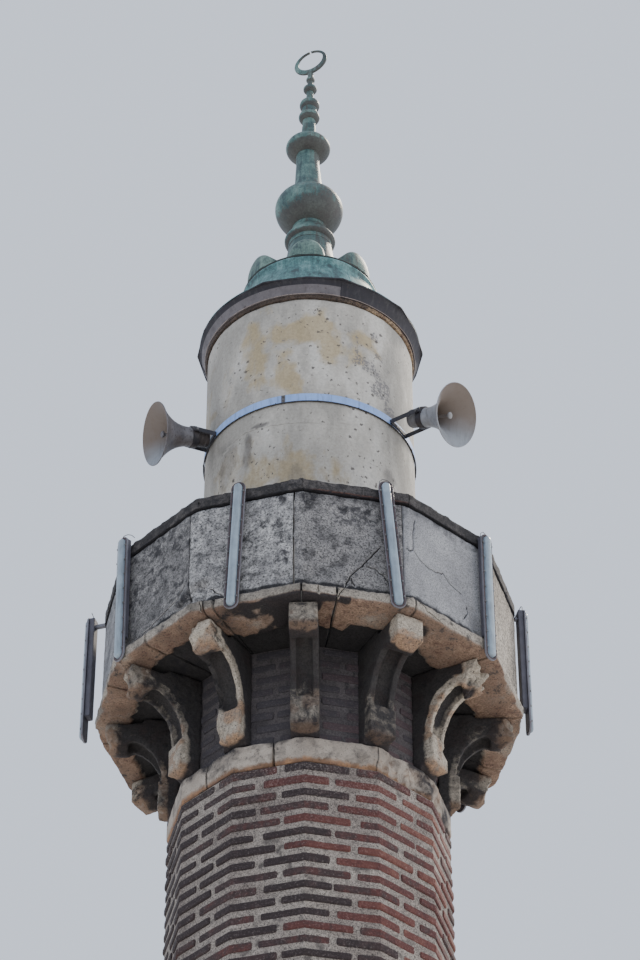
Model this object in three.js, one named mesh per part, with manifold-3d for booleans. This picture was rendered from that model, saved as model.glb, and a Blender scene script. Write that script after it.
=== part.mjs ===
// A brick minaret with a corbelled balcony, a plastered upper drum and a copper finial.
// Millimetres, +Z up. The origin is the middle of the foot, and the view side is -Y.
import * as THREE from 'three';
import { mergeVertices } from 'three/addons/utils/BufferGeometryUtils.js';
import { ConvexGeometry } from 'three/addons/geometries/ConvexGeometry.js';
import Module from 'manifold-3d';

const wasm = await Module();
wasm.setup();

// Driving dimensions
const SIDES = 12;
const JOINT = 0.3;
const ROUND_STEPS = 36;
const SHAFT_RADIUS = 1100;
const WELL_RADIUS = 640;
const PARAPET_TURN = -0.75;

// Heights above the ground
const PLINTH_TOP = 400;
const BASE_TOP = 4300;
const BASE_CORNICE_TOP = 4470;
const TRANSITION_TOP = 5800;
const LOWER_RING_TOP = 6040;
const SHAFT_SPLIT = 11020;
const SHAFT_TOP = 16010;
const UPPER_RING_TOP = 16245;
const SLAB_BOTTOM = 17130;
const SOFFIT_RECESS = 40;
const SLAB_TOP = 17250;
const PANEL_TOP = 18195;
const COPING_TOP = 18320;
const DRUM_TOP = 20998;
const EAVE_RING_TOP = 21038;
const LIP_BOTTOM = 21165;
const LIP_TOP = 21180;
const RING_LINE = 21860;
const ROOF_TOP = 22460;
const FINIAL_SPLIT = 23598;
const FINIAL_TOP = 24780;

// Masonry widths
const PLINTH_WIDTH = 3100;
const BASE_WIDTH = 2940;
const BASE_WALL = 600;
const BASE_CORNICE_WIDTH = 3080;
const RING_RADIUS = 1115;
const CORBEL_RADIUS = 1030;
const BALCONY_RADIUS = 1735;
const PANEL_RADIUS = 1682;
const PANEL_THICKNESS = 100;
const COPING_RADIUS = 1696;
const COPING_WIDTH = 170;
const DRUM_RADIUS = 900;
const DRUM_WALL = 250;
const DRUM_INSIDE = DRUM_RADIUS - DRUM_WALL;

// Colours seen on the object
const BRICK = 0x6f4440;
const PALE_STONE = 0xb9b2a4;
const GREY_STONE = 0x8f8c88;
const PLASTER = 0xb8b2a6;
const DARK_IRON = 0x34323a;
const COPPER = 0x4f8278;
const LAMP_GREY = 0xa3b4c4;
const BAND_BLUE = 0x86a5d8;
const TIMBER = 0x5d4a38;

const part = new THREE.Group();

function add(name, geometry, color, roughness = 0.9, metalness = 0) {
  const material = new THREE.MeshStandardMaterial({ color, roughness, metalness });
  const mesh = new THREE.Mesh(geometry, material);
  mesh.name = name;
  part.add(mesh);
  return mesh;
}

// Solids joined and cut

function toSolid(geometry) {
  const bare = geometry.clone();
  bare.deleteAttribute('normal');
  bare.deleteAttribute('uv');
  const merged = mergeVertices(bare, 1e-3);
  return new wasm.Manifold(new wasm.Mesh({
    numProp: 3,
    vertProperties: new Float32Array(merged.attributes.position.array),
    triVerts: new Uint32Array(merged.index.array),
  }));
}

function toGeometry(solid) {
  const mesh = solid.getMesh();
  const geometry = new THREE.BufferGeometry();
  geometry.setAttribute('position', new THREE.BufferAttribute(new Float32Array(mesh.vertProperties), 3));
  geometry.setIndex(new THREE.BufferAttribute(new Uint32Array(mesh.triVerts), 1));
  geometry.computeVertexNormals();
  return geometry;
}

const join = (first, ...rest) => rest.reduce((sum, piece) => sum.add(toSolid(piece)), toSolid(first));
const joined = (...pieces) => toGeometry(join(...pieces));
const cut = (piece, ...tools) =>
  toGeometry(tools.reduce((left, tool) => left.subtract(toSolid(tool)), toSolid(piece)));

// Plan outlines: an azimuth is counted from the view side (-Y) towards +X

function azimuthPoint(radius, azimuth) {
  const angle = THREE.MathUtils.degToRad(azimuth);
  return new THREE.Vector2(radius * Math.sin(angle), -radius * Math.cos(angle));
}

function ringOfPoints(radius, turn = 0, sides = SIDES) {
  return Array.from({ length: sides }, (_, i) => azimuthPoint(radius, turn + (i * 360) / sides));
}

function prism(points, bottom, top, hole) {
  const shape = new THREE.Shape(points);
  if (hole) shape.holes.push(new THREE.Path([...hole].reverse()));
  const geometry = new THREE.ExtrudeGeometry(shape, { depth: top - bottom, bevelEnabled: false });
  return geometry.translate(0, 0, bottom);
}

const square = (width) => [
  new THREE.Vector2(-width / 2, -width / 2),
  new THREE.Vector2(width / 2, -width / 2),
  new THREE.Vector2(width / 2, width / 2),
  new THREE.Vector2(-width / 2, width / 2),
];

const well = ringOfPoints(WELL_RADIUS);
const tube = (radius, bottom, top) => prism(ringOfPoints(radius), bottom + JOINT, top, well);
const turned = (points, steps) =>
  new THREE.LatheGeometry(points.map(([r, z]) => new THREE.Vector2(r, z)), steps).rotateX(Math.PI / 2);

// Stands a shape drawn in X (outwards) and Y (up) on edge, facing the view side

function standing(points, width) {
  const shape = new THREE.Shape(points.map(([x, y]) => new THREE.Vector2(x, y)));
  const geometry = new THREE.ExtrudeGeometry(shape, { depth: width, bevelEnabled: false });
  geometry.translate(0, 0, -width / 2).rotateX(Math.PI / 2);
  return geometry.rotateZ(-Math.PI / 2);
}

// An arched door outline, drawn in X (across) and Y (up), pushed along +Y in plan

function archedBlock(width, springing, bottom, depth, front) {
  const half = width / 2;
  const shape = new THREE.Shape();
  shape.moveTo(-half, bottom);
  shape.lineTo(half, bottom);
  shape.lineTo(half, springing);
  shape.absarc(0, springing, half, 0, Math.PI, false);
  const geometry = new THREE.ExtrudeGeometry(shape, { depth, bevelEnabled: false, curveSegments: 10 });
  return geometry.rotateX(Math.PI / 2).translate(0, front + depth, 0);
}

// Base: a square stone block with one arched doorway, and the slope up to twelve sides

const DOOR_WIDTH = 820;
const DOOR_SPRINGING = PLINTH_TOP + 1500;
const DOOR_THICKNESS = 60;
const DOOR_SET_BACK = 220;

function makeBase() {
  add('base_plinth', prism(square(PLINTH_WIDTH), 0, PLINTH_TOP), GREY_STONE);

  const walls = prism(square(BASE_WIDTH), PLINTH_TOP + JOINT, BASE_TOP, square(BASE_WIDTH - 2 * BASE_WALL));
  const doorway = archedBlock(DOOR_WIDTH, DOOR_SPRINGING, 0, BASE_WALL * 2, -BASE_WIDTH / 2 - BASE_WALL / 2);
  add('base_walls', cut(walls, doorway), PALE_STONE);

  const leafFront = -BASE_WIDTH / 2 + DOOR_SET_BACK;
  const leaf = archedBlock(
    DOOR_WIDTH - 2 * JOINT, DOOR_SPRINGING, PLINTH_TOP + JOINT, DOOR_THICKNESS, leafFront);
  add('base_door', leaf, TIMBER);

  const cornice = prism(square(BASE_CORNICE_WIDTH), BASE_TOP + JOINT, BASE_CORNICE_TOP, well);
  add('base_cornice', cornice, PALE_STONE);

  const corners = square(BASE_WIDTH).map((p) => new THREE.Vector3(p.x, p.y, BASE_CORNICE_TOP + JOINT));
  const collar = ringOfPoints(RING_RADIUS).map((p) => new THREE.Vector3(p.x, p.y, TRANSITION_TOP));
  const slope = new ConvexGeometry([...corners, ...collar]);
  add('transition', cut(slope, prism(well, BASE_TOP, TRANSITION_TOP + BASE_WALL)), PALE_STONE);
}

// Shaft: twelve flat brick faces between two stone rings, then the narrower corbel drum

function makeShaft() {
  add('lower_ring', tube(RING_RADIUS, TRANSITION_TOP, LOWER_RING_TOP), PALE_STONE);
  add('shaft_lower', tube(SHAFT_RADIUS, LOWER_RING_TOP, SHAFT_SPLIT), BRICK);
  add('shaft_upper', tube(SHAFT_RADIUS, SHAFT_SPLIT, SHAFT_TOP), BRICK);
  add('upper_ring', tube(RING_RADIUS, SHAFT_TOP, UPPER_RING_TOP), PALE_STONE);
  add('corbel_drum', tube(CORBEL_RADIUS, UPPER_RING_TOP, SLAB_BOTTOM + SOFFIT_RECESS - JOINT), BRICK);
}

// Stone brackets: a foot block, a quarter arc with two ribs, and a head block under the slab

const BRACKET_WIDTH = 232;
const RIB_WIDTH = 58;
const GROOVE_DEPTH = 55;
const RECESS_RADIUS = 1400;
const BRACKET_BACK = CORBEL_RADIUS - 120;
const FOOT_REACH = 1200;
const FOOT_BOTTOM = UPPER_RING_TOP + JOINT;
const FOOT_TOP = 16560;
const HEAD_REACH = 1642;
const HEAD_DEPTH = 210;
const HEAD_BOTTOM = 16920;
const SLOPE_DROP = 50;
const BLOCK_LAP = 30;

function arcPoints(inset) {
  const start = FOOT_REACH - BLOCK_LAP - inset;
  const end = HEAD_REACH - HEAD_DEPTH + BLOCK_LAP;
  const bottom = FOOT_TOP - BLOCK_LAP;
  const top = HEAD_BOTTOM + BLOCK_LAP + inset;
  const steps = 6;
  return Array.from({ length: steps + 1 }, (_, i) => {
    const angle = (Math.PI / 2) * (i / steps);
    return [end - (end - start) * Math.cos(angle), bottom + (top - bottom) * Math.sin(angle)];
  });
}

function bracketSide(inset) {
  const underSlab = SLAB_BOTTOM - JOINT;
  const inRecess = SLAB_BOTTOM + SOFFIT_RECESS - JOINT;
  const recessEdge = RECESS_RADIUS * Math.cos(Math.PI / SIDES) - BLOCK_LAP;
  return [
    [BRACKET_BACK, FOOT_BOTTOM], [FOOT_REACH - 4 * BLOCK_LAP, FOOT_BOTTOM], ...arcPoints(inset),
    [HEAD_REACH - HEAD_DEPTH + BLOCK_LAP, underSlab], [recessEdge, underSlab],
    [recessEdge, inRecess], [BRACKET_BACK, inRecess],
  ];
}

// A block with a blunt pyramid under it, as on the feet and heads of the brackets

function pendantBlock(inner, outer, bottom, top) {
  const half = BRACKET_WIDTH / 2;
  const middle = (inner + outer) / 2;
  const corners = [];
  for (const level of [bottom, top]) {
    for (const [x, y] of [[inner, -half], [outer, -half], [outer, half], [inner, half]]) {
      corners.push(new THREE.Vector3(x, y, level));
    }
  }
  corners.push(new THREE.Vector3(middle, 0, bottom - SLOPE_DROP));
  return new ConvexGeometry(corners).rotateZ(-Math.PI / 2);
}

function bracketGeometry() {
  const headInner = HEAD_REACH - HEAD_DEPTH;
  const grooveTop = HEAD_BOTTOM + GROOVE_DEPTH + BLOCK_LAP;
  const grooveWidth = BRACKET_WIDTH - 2 * RIB_WIDTH;
  const groove = [
    [BRACKET_BACK, FOOT_TOP], [headInner, FOOT_TOP], [headInner, grooveTop], [BRACKET_BACK, grooveTop],
  ];
  const solid = toSolid(standing(bracketSide(0), BRACKET_WIDTH))
    .subtract(toSolid(standing(groove, grooveWidth)))
    .add(toSolid(standing(bracketSide(GROOVE_DEPTH), grooveWidth)))
    .add(toSolid(pendantBlock(CORBEL_RADIUS - 2 * BLOCK_LAP, FOOT_REACH, FOOT_BOTTOM + SLOPE_DROP, FOOT_TOP)))
    .add(toSolid(pendantBlock(headInner, HEAD_REACH, HEAD_BOTTOM, SLAB_BOTTOM - JOINT)));
  const wall = prism(ringOfPoints(CORBEL_RADIUS + JOINT), SHAFT_TOP, SLAB_TOP);
  return toGeometry(solid.subtract(toSolid(wall)));
}

function makeBrackets() {
  for (let i = 0; i < SIDES; i += 1) {
    const bracket = add(`bracket_${String(i + 1).padStart(2, '0')}`, bracketGeometry(), PALE_STONE);
    bracket.rotation.z = (i * 2 * Math.PI) / SIDES;
  }
}

// Balcony: a slab with a recessed underside, twelve parapet slabs butted beside the corners, a coping

const BUTT_OFFSET = -1.8;

// Each slab turns one corner: its end butts on the next slab a little past the corner

function parapetSlab(index) {
  const corner = PARAPET_TURN + (index * 360) / SIDES;
  const outer = ringOfPoints(PANEL_RADIUS, PARAPET_TURN);
  const inner = ringOfPoints(PANEL_RADIUS - PANEL_THICKNESS / Math.cos(Math.PI / SIDES), PARAPET_TURN);
  const wall = prism(outer, SLAB_TOP + JOINT, PANEL_TOP, inner);
  const from = corner + BUTT_OFFSET;
  const gap = THREE.MathUtils.radToDeg(JOINT / PANEL_RADIUS);
  const wedge = [new THREE.Vector2(0, 0), azimuthPoint(2 * PANEL_RADIUS, from + gap)];
  wedge.push(azimuthPoint(2 * PANEL_RADIUS, from + 360 / SIDES));
  return toGeometry(toSolid(wall).intersect(toSolid(prism(wedge, SLAB_BOTTOM, COPING_TOP))));
}

function makeBalcony() {
  const slab = prism(ringOfPoints(BALCONY_RADIUS, PARAPET_TURN), SLAB_BOTTOM, SLAB_TOP, well);
  const recessEdge = ringOfPoints(RECESS_RADIUS, PARAPET_TURN);
  const recess = prism(recessEdge, SLAB_BOTTOM - SOFFIT_RECESS, SLAB_BOTTOM + SOFFIT_RECESS);
  add('balcony_slab', cut(slab, recess), PALE_STONE);
  for (let i = 0; i < SIDES; i += 1) {
    add(`parapet_slab_${String(i + 1).padStart(2, '0')}`, parapetSlab(i), GREY_STONE);
  }
  const inside = ringOfPoints(COPING_RADIUS - COPING_WIDTH, PARAPET_TURN);
  const coping = prism(ringOfPoints(COPING_RADIUS, PARAPET_TURN), PANEL_TOP + JOINT, COPING_TOP, inside);
  add('parapet_coping', coping, GREY_STONE);
}

// Tube lamps: a tray seated on the coping's edge, a rounded plate and a tube cover

const LAMP_BOTTOM = 17085;
const LAMP_LENGTH = 1250;
const TRAY_WIDTH = 84;
const TRAY_DEPTH = 46;
const TRAY_LENGTH = 1000;
const PLATE_WIDTH = 118;
const PLATE_DEPTH = 16;
const COVER_WIDTH = 66;
const COVER_DEPTH = 34;
const COVER_BEVEL = 12;
const COVER_MARGIN = 20;
const HANGER_WIDTH = 30;
const HANGER_DROP = 60;

// Each lamp's parapet face, its place along that face, its lean in degrees, its height against the
// others, and how far a hanger holds it off
const LAMPS = [
  { face: -4, along: 385, lean: 0, rise: 10, off: 88 },
  { face: -2, along: -365, lean: -1, rise: 35, off: 0 },
  { face: -1, along: -76, lean: 2.2, rise: 5, off: 0 },
  { face: 0, along: 279, lean: -4.4, rise: 15, off: 0 },
  { face: 1, along: 362, lean: 0, rise: -40, off: 0 },
  { face: 3, along: -385, lean: 0, rise: -30, off: 24 },
  { face: 4, along: -20, lean: 0, rise: 0, off: 0 },
  { face: 5, along: 60, lean: 0, rise: 0, off: 0 },
  { face: 6, along: 110, lean: 0, rise: 0, off: 0 },
  { face: 7, along: 0, lean: 0, rise: 0, off: 0 },
];

// A long plate with round ends, standing in the XZ plane and growing towards the view side

function roundEnded(width, length, depth, bevel) {
  const half = width / 2;
  const reach = length / 2 - half;
  const shape = new THREE.Shape();
  shape.moveTo(half, -reach);
  shape.absarc(0, reach, half, 0, Math.PI, false);
  shape.absarc(0, -reach, half, Math.PI, 2 * Math.PI, false);
  const geometry = new THREE.ExtrudeGeometry(shape, {
    depth: depth - bevel, bevelEnabled: bevel > 0, bevelThickness: bevel, bevelSize: bevel,
    bevelOffset: -bevel, bevelSegments: 1, curveSegments: 5,
  });
  return geometry.rotateX(Math.PI / 2);
}

// Zero is the middle of the lamp's length, on its back

function lampGeometry(off) {
  const top = LAMP_LENGTH / 2;
  const tray = new THREE.BoxGeometry(TRAY_WIDTH, TRAY_DEPTH, TRAY_LENGTH);
  tray.translate(0, -TRAY_DEPTH / 2, top - COVER_MARGIN - TRAY_LENGTH / 2);
  const plate = roundEnded(PLATE_WIDTH, LAMP_LENGTH, PLATE_DEPTH, 0).translate(0, -TRAY_DEPTH, 0);
  const cover = roundEnded(COVER_WIDTH, LAMP_LENGTH - 2 * COVER_MARGIN, COVER_DEPTH, COVER_BEVEL);
  cover.translate(0, -TRAY_DEPTH - PLATE_DEPTH, 0);
  if (off === 0) return joined(tray, plate, cover);
  const hanger = new THREE.BoxGeometry(HANGER_WIDTH, off + COVER_BEVEL, HANGER_WIDTH);
  hanger.translate(0, (off - COVER_BEVEL) / 2, top - HANGER_DROP - HANGER_WIDTH / 2);
  return joined(tray, plate, cover, hanger);
}

function makeLamps() {
  const step = 360 / SIDES;
  const seat = COPING_RADIUS * Math.cos(Math.PI / SIDES) + JOINT;
  LAMPS.forEach(({ face, along, lean, rise, off }, i) => {
    const lamp = add(`lamp_${String(i + 1).padStart(2, '0')}`, lampGeometry(off), LAMP_GREY, 0.5);
    lamp.geometry.rotateY(THREE.MathUtils.degToRad(lean));
    lamp.geometry.translate(along, -seat - off, LAMP_BOTTOM + LAMP_LENGTH / 2 + rise);
    lamp.rotation.z = THREE.MathUtils.degToRad(PARAPET_TURN + (face + 0.5) * step);
  });
}

// Upper drum: a round plastered wall with a doorway to the balcony on the far side

const BALCONY_DOOR_WIDTH = 640;
const BALCONY_DOOR_SPRINGING = SLAB_TOP + 1350;
const BALCONY_DOOR_FRONT = 690;

function makeUpperDrum() {
  const wall = turned([
    [DRUM_INSIDE, SLAB_TOP + JOINT], [DRUM_RADIUS, SLAB_TOP + JOINT],
    [DRUM_RADIUS, DRUM_TOP], [DRUM_INSIDE, DRUM_TOP], [DRUM_INSIDE, SLAB_TOP + JOINT],
  ], ROUND_STEPS);
  const doorway = archedBlock(BALCONY_DOOR_WIDTH, BALCONY_DOOR_SPRINGING, SLAB_TOP - 100, DRUM_RADIUS, 200);
  add('upper_drum', cut(wall, doorway), PLASTER);
  const leaf = archedBlock(
    BALCONY_DOOR_WIDTH - 2 * JOINT, BALCONY_DOOR_SPRINGING, SLAB_TOP + JOINT, 45, BALCONY_DOOR_FRONT);
  add('balcony_door', leaf, TIMBER);
}

// Loudspeakers: a blue steel band round the drum, two horns in U brackets, and their cable

const BAND_BOTTOM = 19825;
const BAND_TOP = 19905;
const BAND_THICKNESS = 6;
const PIVOT_HEIGHT = 19855;
const COLLAR_RADIUS = 96;
const ARM_SPAN = 112;
const ARM_THICKNESS = 6;
const ARM_HEIGHT = 44;
const ARM_PAST_PIVOT = 30;
const SADDLE_DEPTH = 16;
const BELL_LENGTH = 340;
const MOUTH_RADIUS = 270;
const ROLLED_EDGE = 4;
const DRIVER_REAR = -138;
const DRIVER_RADIUS = 80;
const DRIVER_BEVEL = 20;
const COLLAR_HALF = 26;
const THROAT_RADIUS = 66;
const WALL = 18;
const PHASE_PLUG = [[28, 60], [26, 92], [14, 102], [0, 104]];
const BOLT_RADIUS = 11;
const BOLT_HEAD = 10;
const HORNS = [
  { name: 'left', azimuth: -66.2, droop: 12, pivotRadius: 1068 },
  { name: 'right', azimuth: 57.3, droop: 21.5, pivotRadius: 1161 },
];
const CABLE_RADIUS = 6;
const CABLE_STEPS = 8;

function bellCurve(throat, mouth, from, to, steps) {
  return Array.from({ length: steps + 1 }, (_, i) => {
    const t = i / steps;
    return [throat + (mouth - throat) * t ** 2.3, from + (to - from) * t];
  });
}

function hornGeometry() {
  const throatDepth = PHASE_PLUG[0][1];
  const outside = bellCurve(
    THROAT_RADIUS + WALL, MOUTH_RADIUS - ROLLED_EDGE, COLLAR_HALF, BELL_LENGTH - ROLLED_EDGE, 6);
  const inside = bellCurve(THROAT_RADIUS, MOUTH_RADIUS - 2 * ROLLED_EDGE, throatDepth, BELL_LENGTH + 2, 6);
  const outline = [
    [0, DRIVER_REAR], [DRIVER_RADIUS - DRIVER_BEVEL, DRIVER_REAR],
    [DRIVER_RADIUS, DRIVER_REAR + DRIVER_BEVEL],
    [DRIVER_RADIUS, -COLLAR_HALF], [COLLAR_RADIUS, -COLLAR_HALF], [COLLAR_RADIUS, COLLAR_HALF], ...outside,
    [MOUTH_RADIUS + ROLLED_EDGE, BELL_LENGTH], [MOUTH_RADIUS, BELL_LENGTH + ROLLED_EDGE + 2],
    ...inside.reverse(), ...PHASE_PLUG,
  ];
  return new THREE.LatheGeometry(outline.map(([r, y]) => new THREE.Vector2(r, y)), 20);
}

// The bracket's own frame: X outwards from the drum, Y along it, Z up, zero at the pivot

function hornBracketGeometry(pivotRadius) {
  const baseFace = DRUM_RADIUS + BAND_THICKNESS - SADDLE_DEPTH - pivotRadius;
  const baseDepth = SADDLE_DEPTH + ARM_THICKNESS;
  const base = new THREE.BoxGeometry(baseDepth, 2 * (ARM_SPAN + ARM_THICKNESS), ARM_HEIGHT);
  base.translate(baseFace + baseDepth / 2, 0, 0);
  const armLength = ARM_PAST_PIVOT - baseFace;
  const arms = [-1, 1].map((side) => {
    const arm = new THREE.BoxGeometry(armLength, ARM_THICKNESS, ARM_HEIGHT);
    return arm.translate(baseFace + armLength / 2, side * (ARM_SPAN + ARM_THICKNESS / 2), 0);
  });
  const boltLength = ARM_SPAN + ARM_THICKNESS + BOLT_HEAD - COLLAR_RADIUS - JOINT;
  const bolts = [-1, 1].map((side) => {
    const bolt = new THREE.CylinderGeometry(BOLT_RADIUS, BOLT_RADIUS, boltLength, 12);
    return bolt.translate(0, side * (COLLAR_RADIUS + JOINT + boltLength / 2), 0);
  });
  return joined(base, ...arms, ...bolts);
}

function makeLoudspeakers() {
  const near = DRUM_RADIUS + JOINT;
  const far = near + BAND_THICKNESS;
  const band = [
    [near, BAND_BOTTOM], [far, BAND_BOTTOM], [far, BAND_TOP], [near, BAND_TOP], [near, BAND_BOTTOM],
  ];
  add('speaker_band', turned(band, ROUND_STEPS), BAND_BLUE, 0.5, 0.3);

  const bandCore = turned([
    [0, BAND_BOTTOM], [far + JOINT, BAND_BOTTOM], [far + JOINT, BAND_TOP], [0, BAND_TOP],
  ], ROUND_STEPS);
  for (const { name, azimuth, droop, pivotRadius } of HORNS) {
    const place = azimuthPoint(pivotRadius, azimuth);
    const heading = THREE.MathUtils.degToRad(azimuth - 90);
    const bracket = hornBracketGeometry(pivotRadius).rotateZ(heading);
    bracket.translate(place.x, place.y, PIVOT_HEIGHT);
    add(`horn_bracket_${name}`, cut(bracket, bandCore), DARK_IRON, 0.6, 0.5);
    const horn = hornGeometry().rotateZ(-Math.PI / 2 - THREE.MathUtils.degToRad(droop)).rotateX(Math.PI / 2);
    const mesh = add(`horn_${name}`, horn, GREY_STONE, 0.5, 0.2);
    mesh.position.set(place.x, place.y, PIVOT_HEIGHT);
    mesh.rotation.z = heading;
  }

  const reach = DRUM_RADIUS + JOINT + CABLE_RADIUS;
  const level = BAND_BOTTOM - JOINT - CABLE_RADIUS;
  const section = Array.from({ length: CABLE_STEPS + 1 }, (_, i) => {
    const angle = (i * 2 * Math.PI) / CABLE_STEPS;
    return [reach + CABLE_RADIUS * Math.cos(angle), level + CABLE_RADIUS * Math.sin(angle)];
  });
  add('speaker_cable', turned(section, ROUND_STEPS), DARK_IRON, 0.7);
}

// Roof: a timber and iron eave, then a copper bell with seven round lobes on its ring line

const EAVE_INSIDE = DRUM_INSIDE + 20;
const ROOF_FOOT_RADIUS = 972;
const LOBES = 7;
const LOBE_TURN = -1.5;
const LOBE_REACH = 556;
const LOBE_HALF_WIDTH = 158;
const LOBE_HEIGHT = 166;
const LOBE_ROOT = 60;
const ROOF_CAP = 90;
const above = (base, points) => points.map(([radius, rise]) => [radius, base + rise]);

// Outlines from the photograph: each a radius and the height over the piece's own foot
const FASCIA_OUTLINE = [[DRUM_RADIUS + 22, 0], [DRUM_RADIUS + 34, 42], [DRUM_RADIUS + 50, 84]];
const SKIRT_OUTLINE = [
  [ROOF_FOOT_RADIUS, 0], [ROOF_FOOT_RADIUS, 10], [868, 60], [755, 182], [675, 325], [609, 500],
];
const BELL_OUTLINE = [[545, 0], [515, 6], [450, 38], [366, 120], [296, 222], [247, 333], [215, 462]];
const ROOF_INSIDE = [
  [200, 1013], [250, 850], [330, 730], [430, 640], [500, 570], [560, 410], [690, 200],
  [EAVE_INSIDE + 60, 75], [EAVE_INSIDE + 60, 0],
];

// The sheet iron lip is bent by hand: the azimuth and radius of each bend
const LIP_OUTLINE = [
  [0, 988], [18, 1010], [36, 981], [54.5, 998], [72, 974], [91, 996], [108, 982], [126, 1003], [144, 982],
  [162, 1003], [180, 982], [198, 1003], [216, 982], [234, 1003], [252, 982], [270, 993], [290, 978],
  [306, 976], [323, 973], [338, 1005],
];

function lobe(azimuth) {
  const steps = 10;
  const points = Array.from({ length: steps + 1 }, (_, i) => {
    const angle = Math.PI * (i / steps);
    return new THREE.Vector2(LOBE_HALF_WIDTH * Math.cos(angle), LOBE_HEIGHT * Math.sin(angle));
  });
  const block = new THREE.ExtrudeGeometry(
    new THREE.Shape(points), { depth: LOBE_REACH - LOBE_ROOT, bevelEnabled: false });
  block.rotateX(Math.PI / 2).translate(0, -LOBE_ROOT, RING_LINE);
  return block.rotateZ(THREE.MathUtils.degToRad(azimuth));
}

function makeRoof() {
  add('eave_ring', turned([
    [EAVE_INSIDE, DRUM_TOP + JOINT], [DRUM_RADIUS + 9, DRUM_TOP + JOINT], [DRUM_RADIUS + 11, EAVE_RING_TOP],
    [EAVE_INSIDE, EAVE_RING_TOP], [EAVE_INSIDE, DRUM_TOP + JOINT],
  ], ROUND_STEPS), TIMBER);

  const eaveFoot = EAVE_RING_TOP + JOINT;
  const fascia = turned([
    [EAVE_INSIDE, eaveFoot], ...above(eaveFoot, FASCIA_OUTLINE), [ROOF_FOOT_RADIUS, LIP_BOTTOM],
    [ROOF_FOOT_RADIUS, LIP_TOP], [EAVE_INSIDE, LIP_TOP], [EAVE_INSIDE, eaveFoot],
  ], ROUND_STEPS);
  const lipEdge = LIP_OUTLINE.map(([azimuth, radius]) => azimuthPoint(radius, azimuth));
  const lip = prism(lipEdge, LIP_BOTTOM, LIP_TOP, ringOfPoints(EAVE_INSIDE + LOBE_ROOT));
  add('eave', joined(fascia, lip), DARK_IRON, 0.7, 0.3);

  const roofFoot = LIP_TOP + JOINT;
  const capFoot = ROOF_TOP - ROOF_CAP;
  const skirt = above(roofFoot, SKIRT_OUTLINE);
  const bell = above(RING_LINE, BELL_OUTLINE);
  const inside = [[150, capFoot], ...above(roofFoot, ROOF_INSIDE)];
  const crown = [[195, ROOF_TOP], [0, ROOF_TOP], [0, capFoot]];
  const shell = turned([...skirt, ...bell, ...crown, ...inside, skirt[0]], ROUND_STEPS);
  const hollow = turned([[0, capFoot], ...inside, [0, roofFoot]].reverse(), ROUND_STEPS);
  const lobes = Array.from({ length: LOBES }, (_, i) => lobe(LOBE_TURN + (i * 360) / LOBES));
  add('roof_bell', toGeometry(join(shell, ...lobes).subtract(toSolid(hollow))), COPPER, 0.7, 0.2);
}

// Finial: spun copper bulbs on one rod that bends at its middle, and the nearly closed crescent

const LOWER_LEAN = -0.021;
const UPPER_LEAN = 0.0225;
const TIP_RADIUS = 29;
const ROD_RADIUS = 108;
const CRESCENT_RADIUS = 170;
const CRESCENT_WIDTH = 30;
const CRESCENT_RISE = 23;
const CRESCENT_THICKNESS = 26;
const CRESCENT_TURN = -25;
const CRESCENT_SQUASH = 0.88;
const CRESCENT_GAP = 0.06;
const NECK_RADIUS = 26;
const NECK_HEIGHT = 40;

// A bulb's half outline from its foot to its head, each a radius where it meets the next piece

function bulb({ radius, centre, down, up = down, foot, head }) {
  const steps = 6;
  const low = Math.asin(foot / radius) - Math.PI / 2;
  const high = Math.PI / 2 - Math.asin(head / radius);
  return Array.from({ length: steps + 1 }, (_, i) => {
    const angle = low + ((high - low) * i) / steps;
    const height = angle < 0 ? down : up;
    return [radius * Math.cos(angle), centre + height * Math.sin(angle)];
  });
}

const LOWER_OUTLINE = [
  ...bulb({ radius: 231, centre: 92, down: 88, foot: 197, head: 187 }),
  [169, 207],
  ...bulb({ radius: 311, centre: 494, down: 278, up: 222, foot: 157, head: 182 }),
  [147, 731], [123, 858], [115, 957],
];
const UPPER_OUTLINE = [
  ...bulb({ radius: 207, centre: 166, down: 124, foot: 106, head: 76 }),
  [64, 359], [64, 449],
  ...bulb({ radius: 99, centre: 588, down: 72, foot: 60, head: 68 }),
  ...bulb({ radius: 94, centre: 750, down: 78, foot: 70, head: 35 }),
  [35, 895],
  ...bulb({ radius: 65, centre: 974, down: 48, foot: 33, head: 31 }),
  ...bulb({ radius: 42, centre: 1105, down: 39, foot: 27, head: 29 }),
];

function crescentGeometry() {
  const up = Math.PI / 2;
  const inner = CRESCENT_RADIUS - CRESCENT_WIDTH;
  const shape = new THREE.Shape();
  shape.absarc(0, 0, CRESCENT_RADIUS, up + CRESCENT_GAP, up - CRESCENT_GAP + 2 * Math.PI, false);
  shape.absarc(0, CRESCENT_RISE, inner, up - CRESCENT_GAP, up + CRESCENT_GAP - 2 * Math.PI, true);
  const ring = new THREE.ExtrudeGeometry(
    shape, { depth: CRESCENT_THICKNESS, bevelEnabled: false, curveSegments: 16 });
  ring.translate(0, CRESCENT_RADIUS - 4, -CRESCENT_THICKNESS / 2).rotateX(Math.PI / 2);
  ring.scale(1, 1, CRESCENT_SQUASH).rotateZ(THREE.MathUtils.degToRad(CRESCENT_TURN));
  const neck = new THREE.CylinderGeometry(NECK_RADIUS, NECK_RADIUS, NECK_HEIGHT, 12).rotateX(Math.PI / 2);
  ring.translate(0, 0, NECK_HEIGHT / 2);
  return joined(ring, neck.translate(0, 0, NECK_HEIGHT / 2));
}

// Moves each level sideways with its height over the foot: level faces stay level

function leaning(geometry, foot, lean, start) {
  const shear = new THREE.Matrix4().makeShear(0, 0, 0, 0, lean, 0);
  return geometry.translate(0, 0, -foot).applyMatrix4(shear).translate(start, 0, foot);
}

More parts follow.
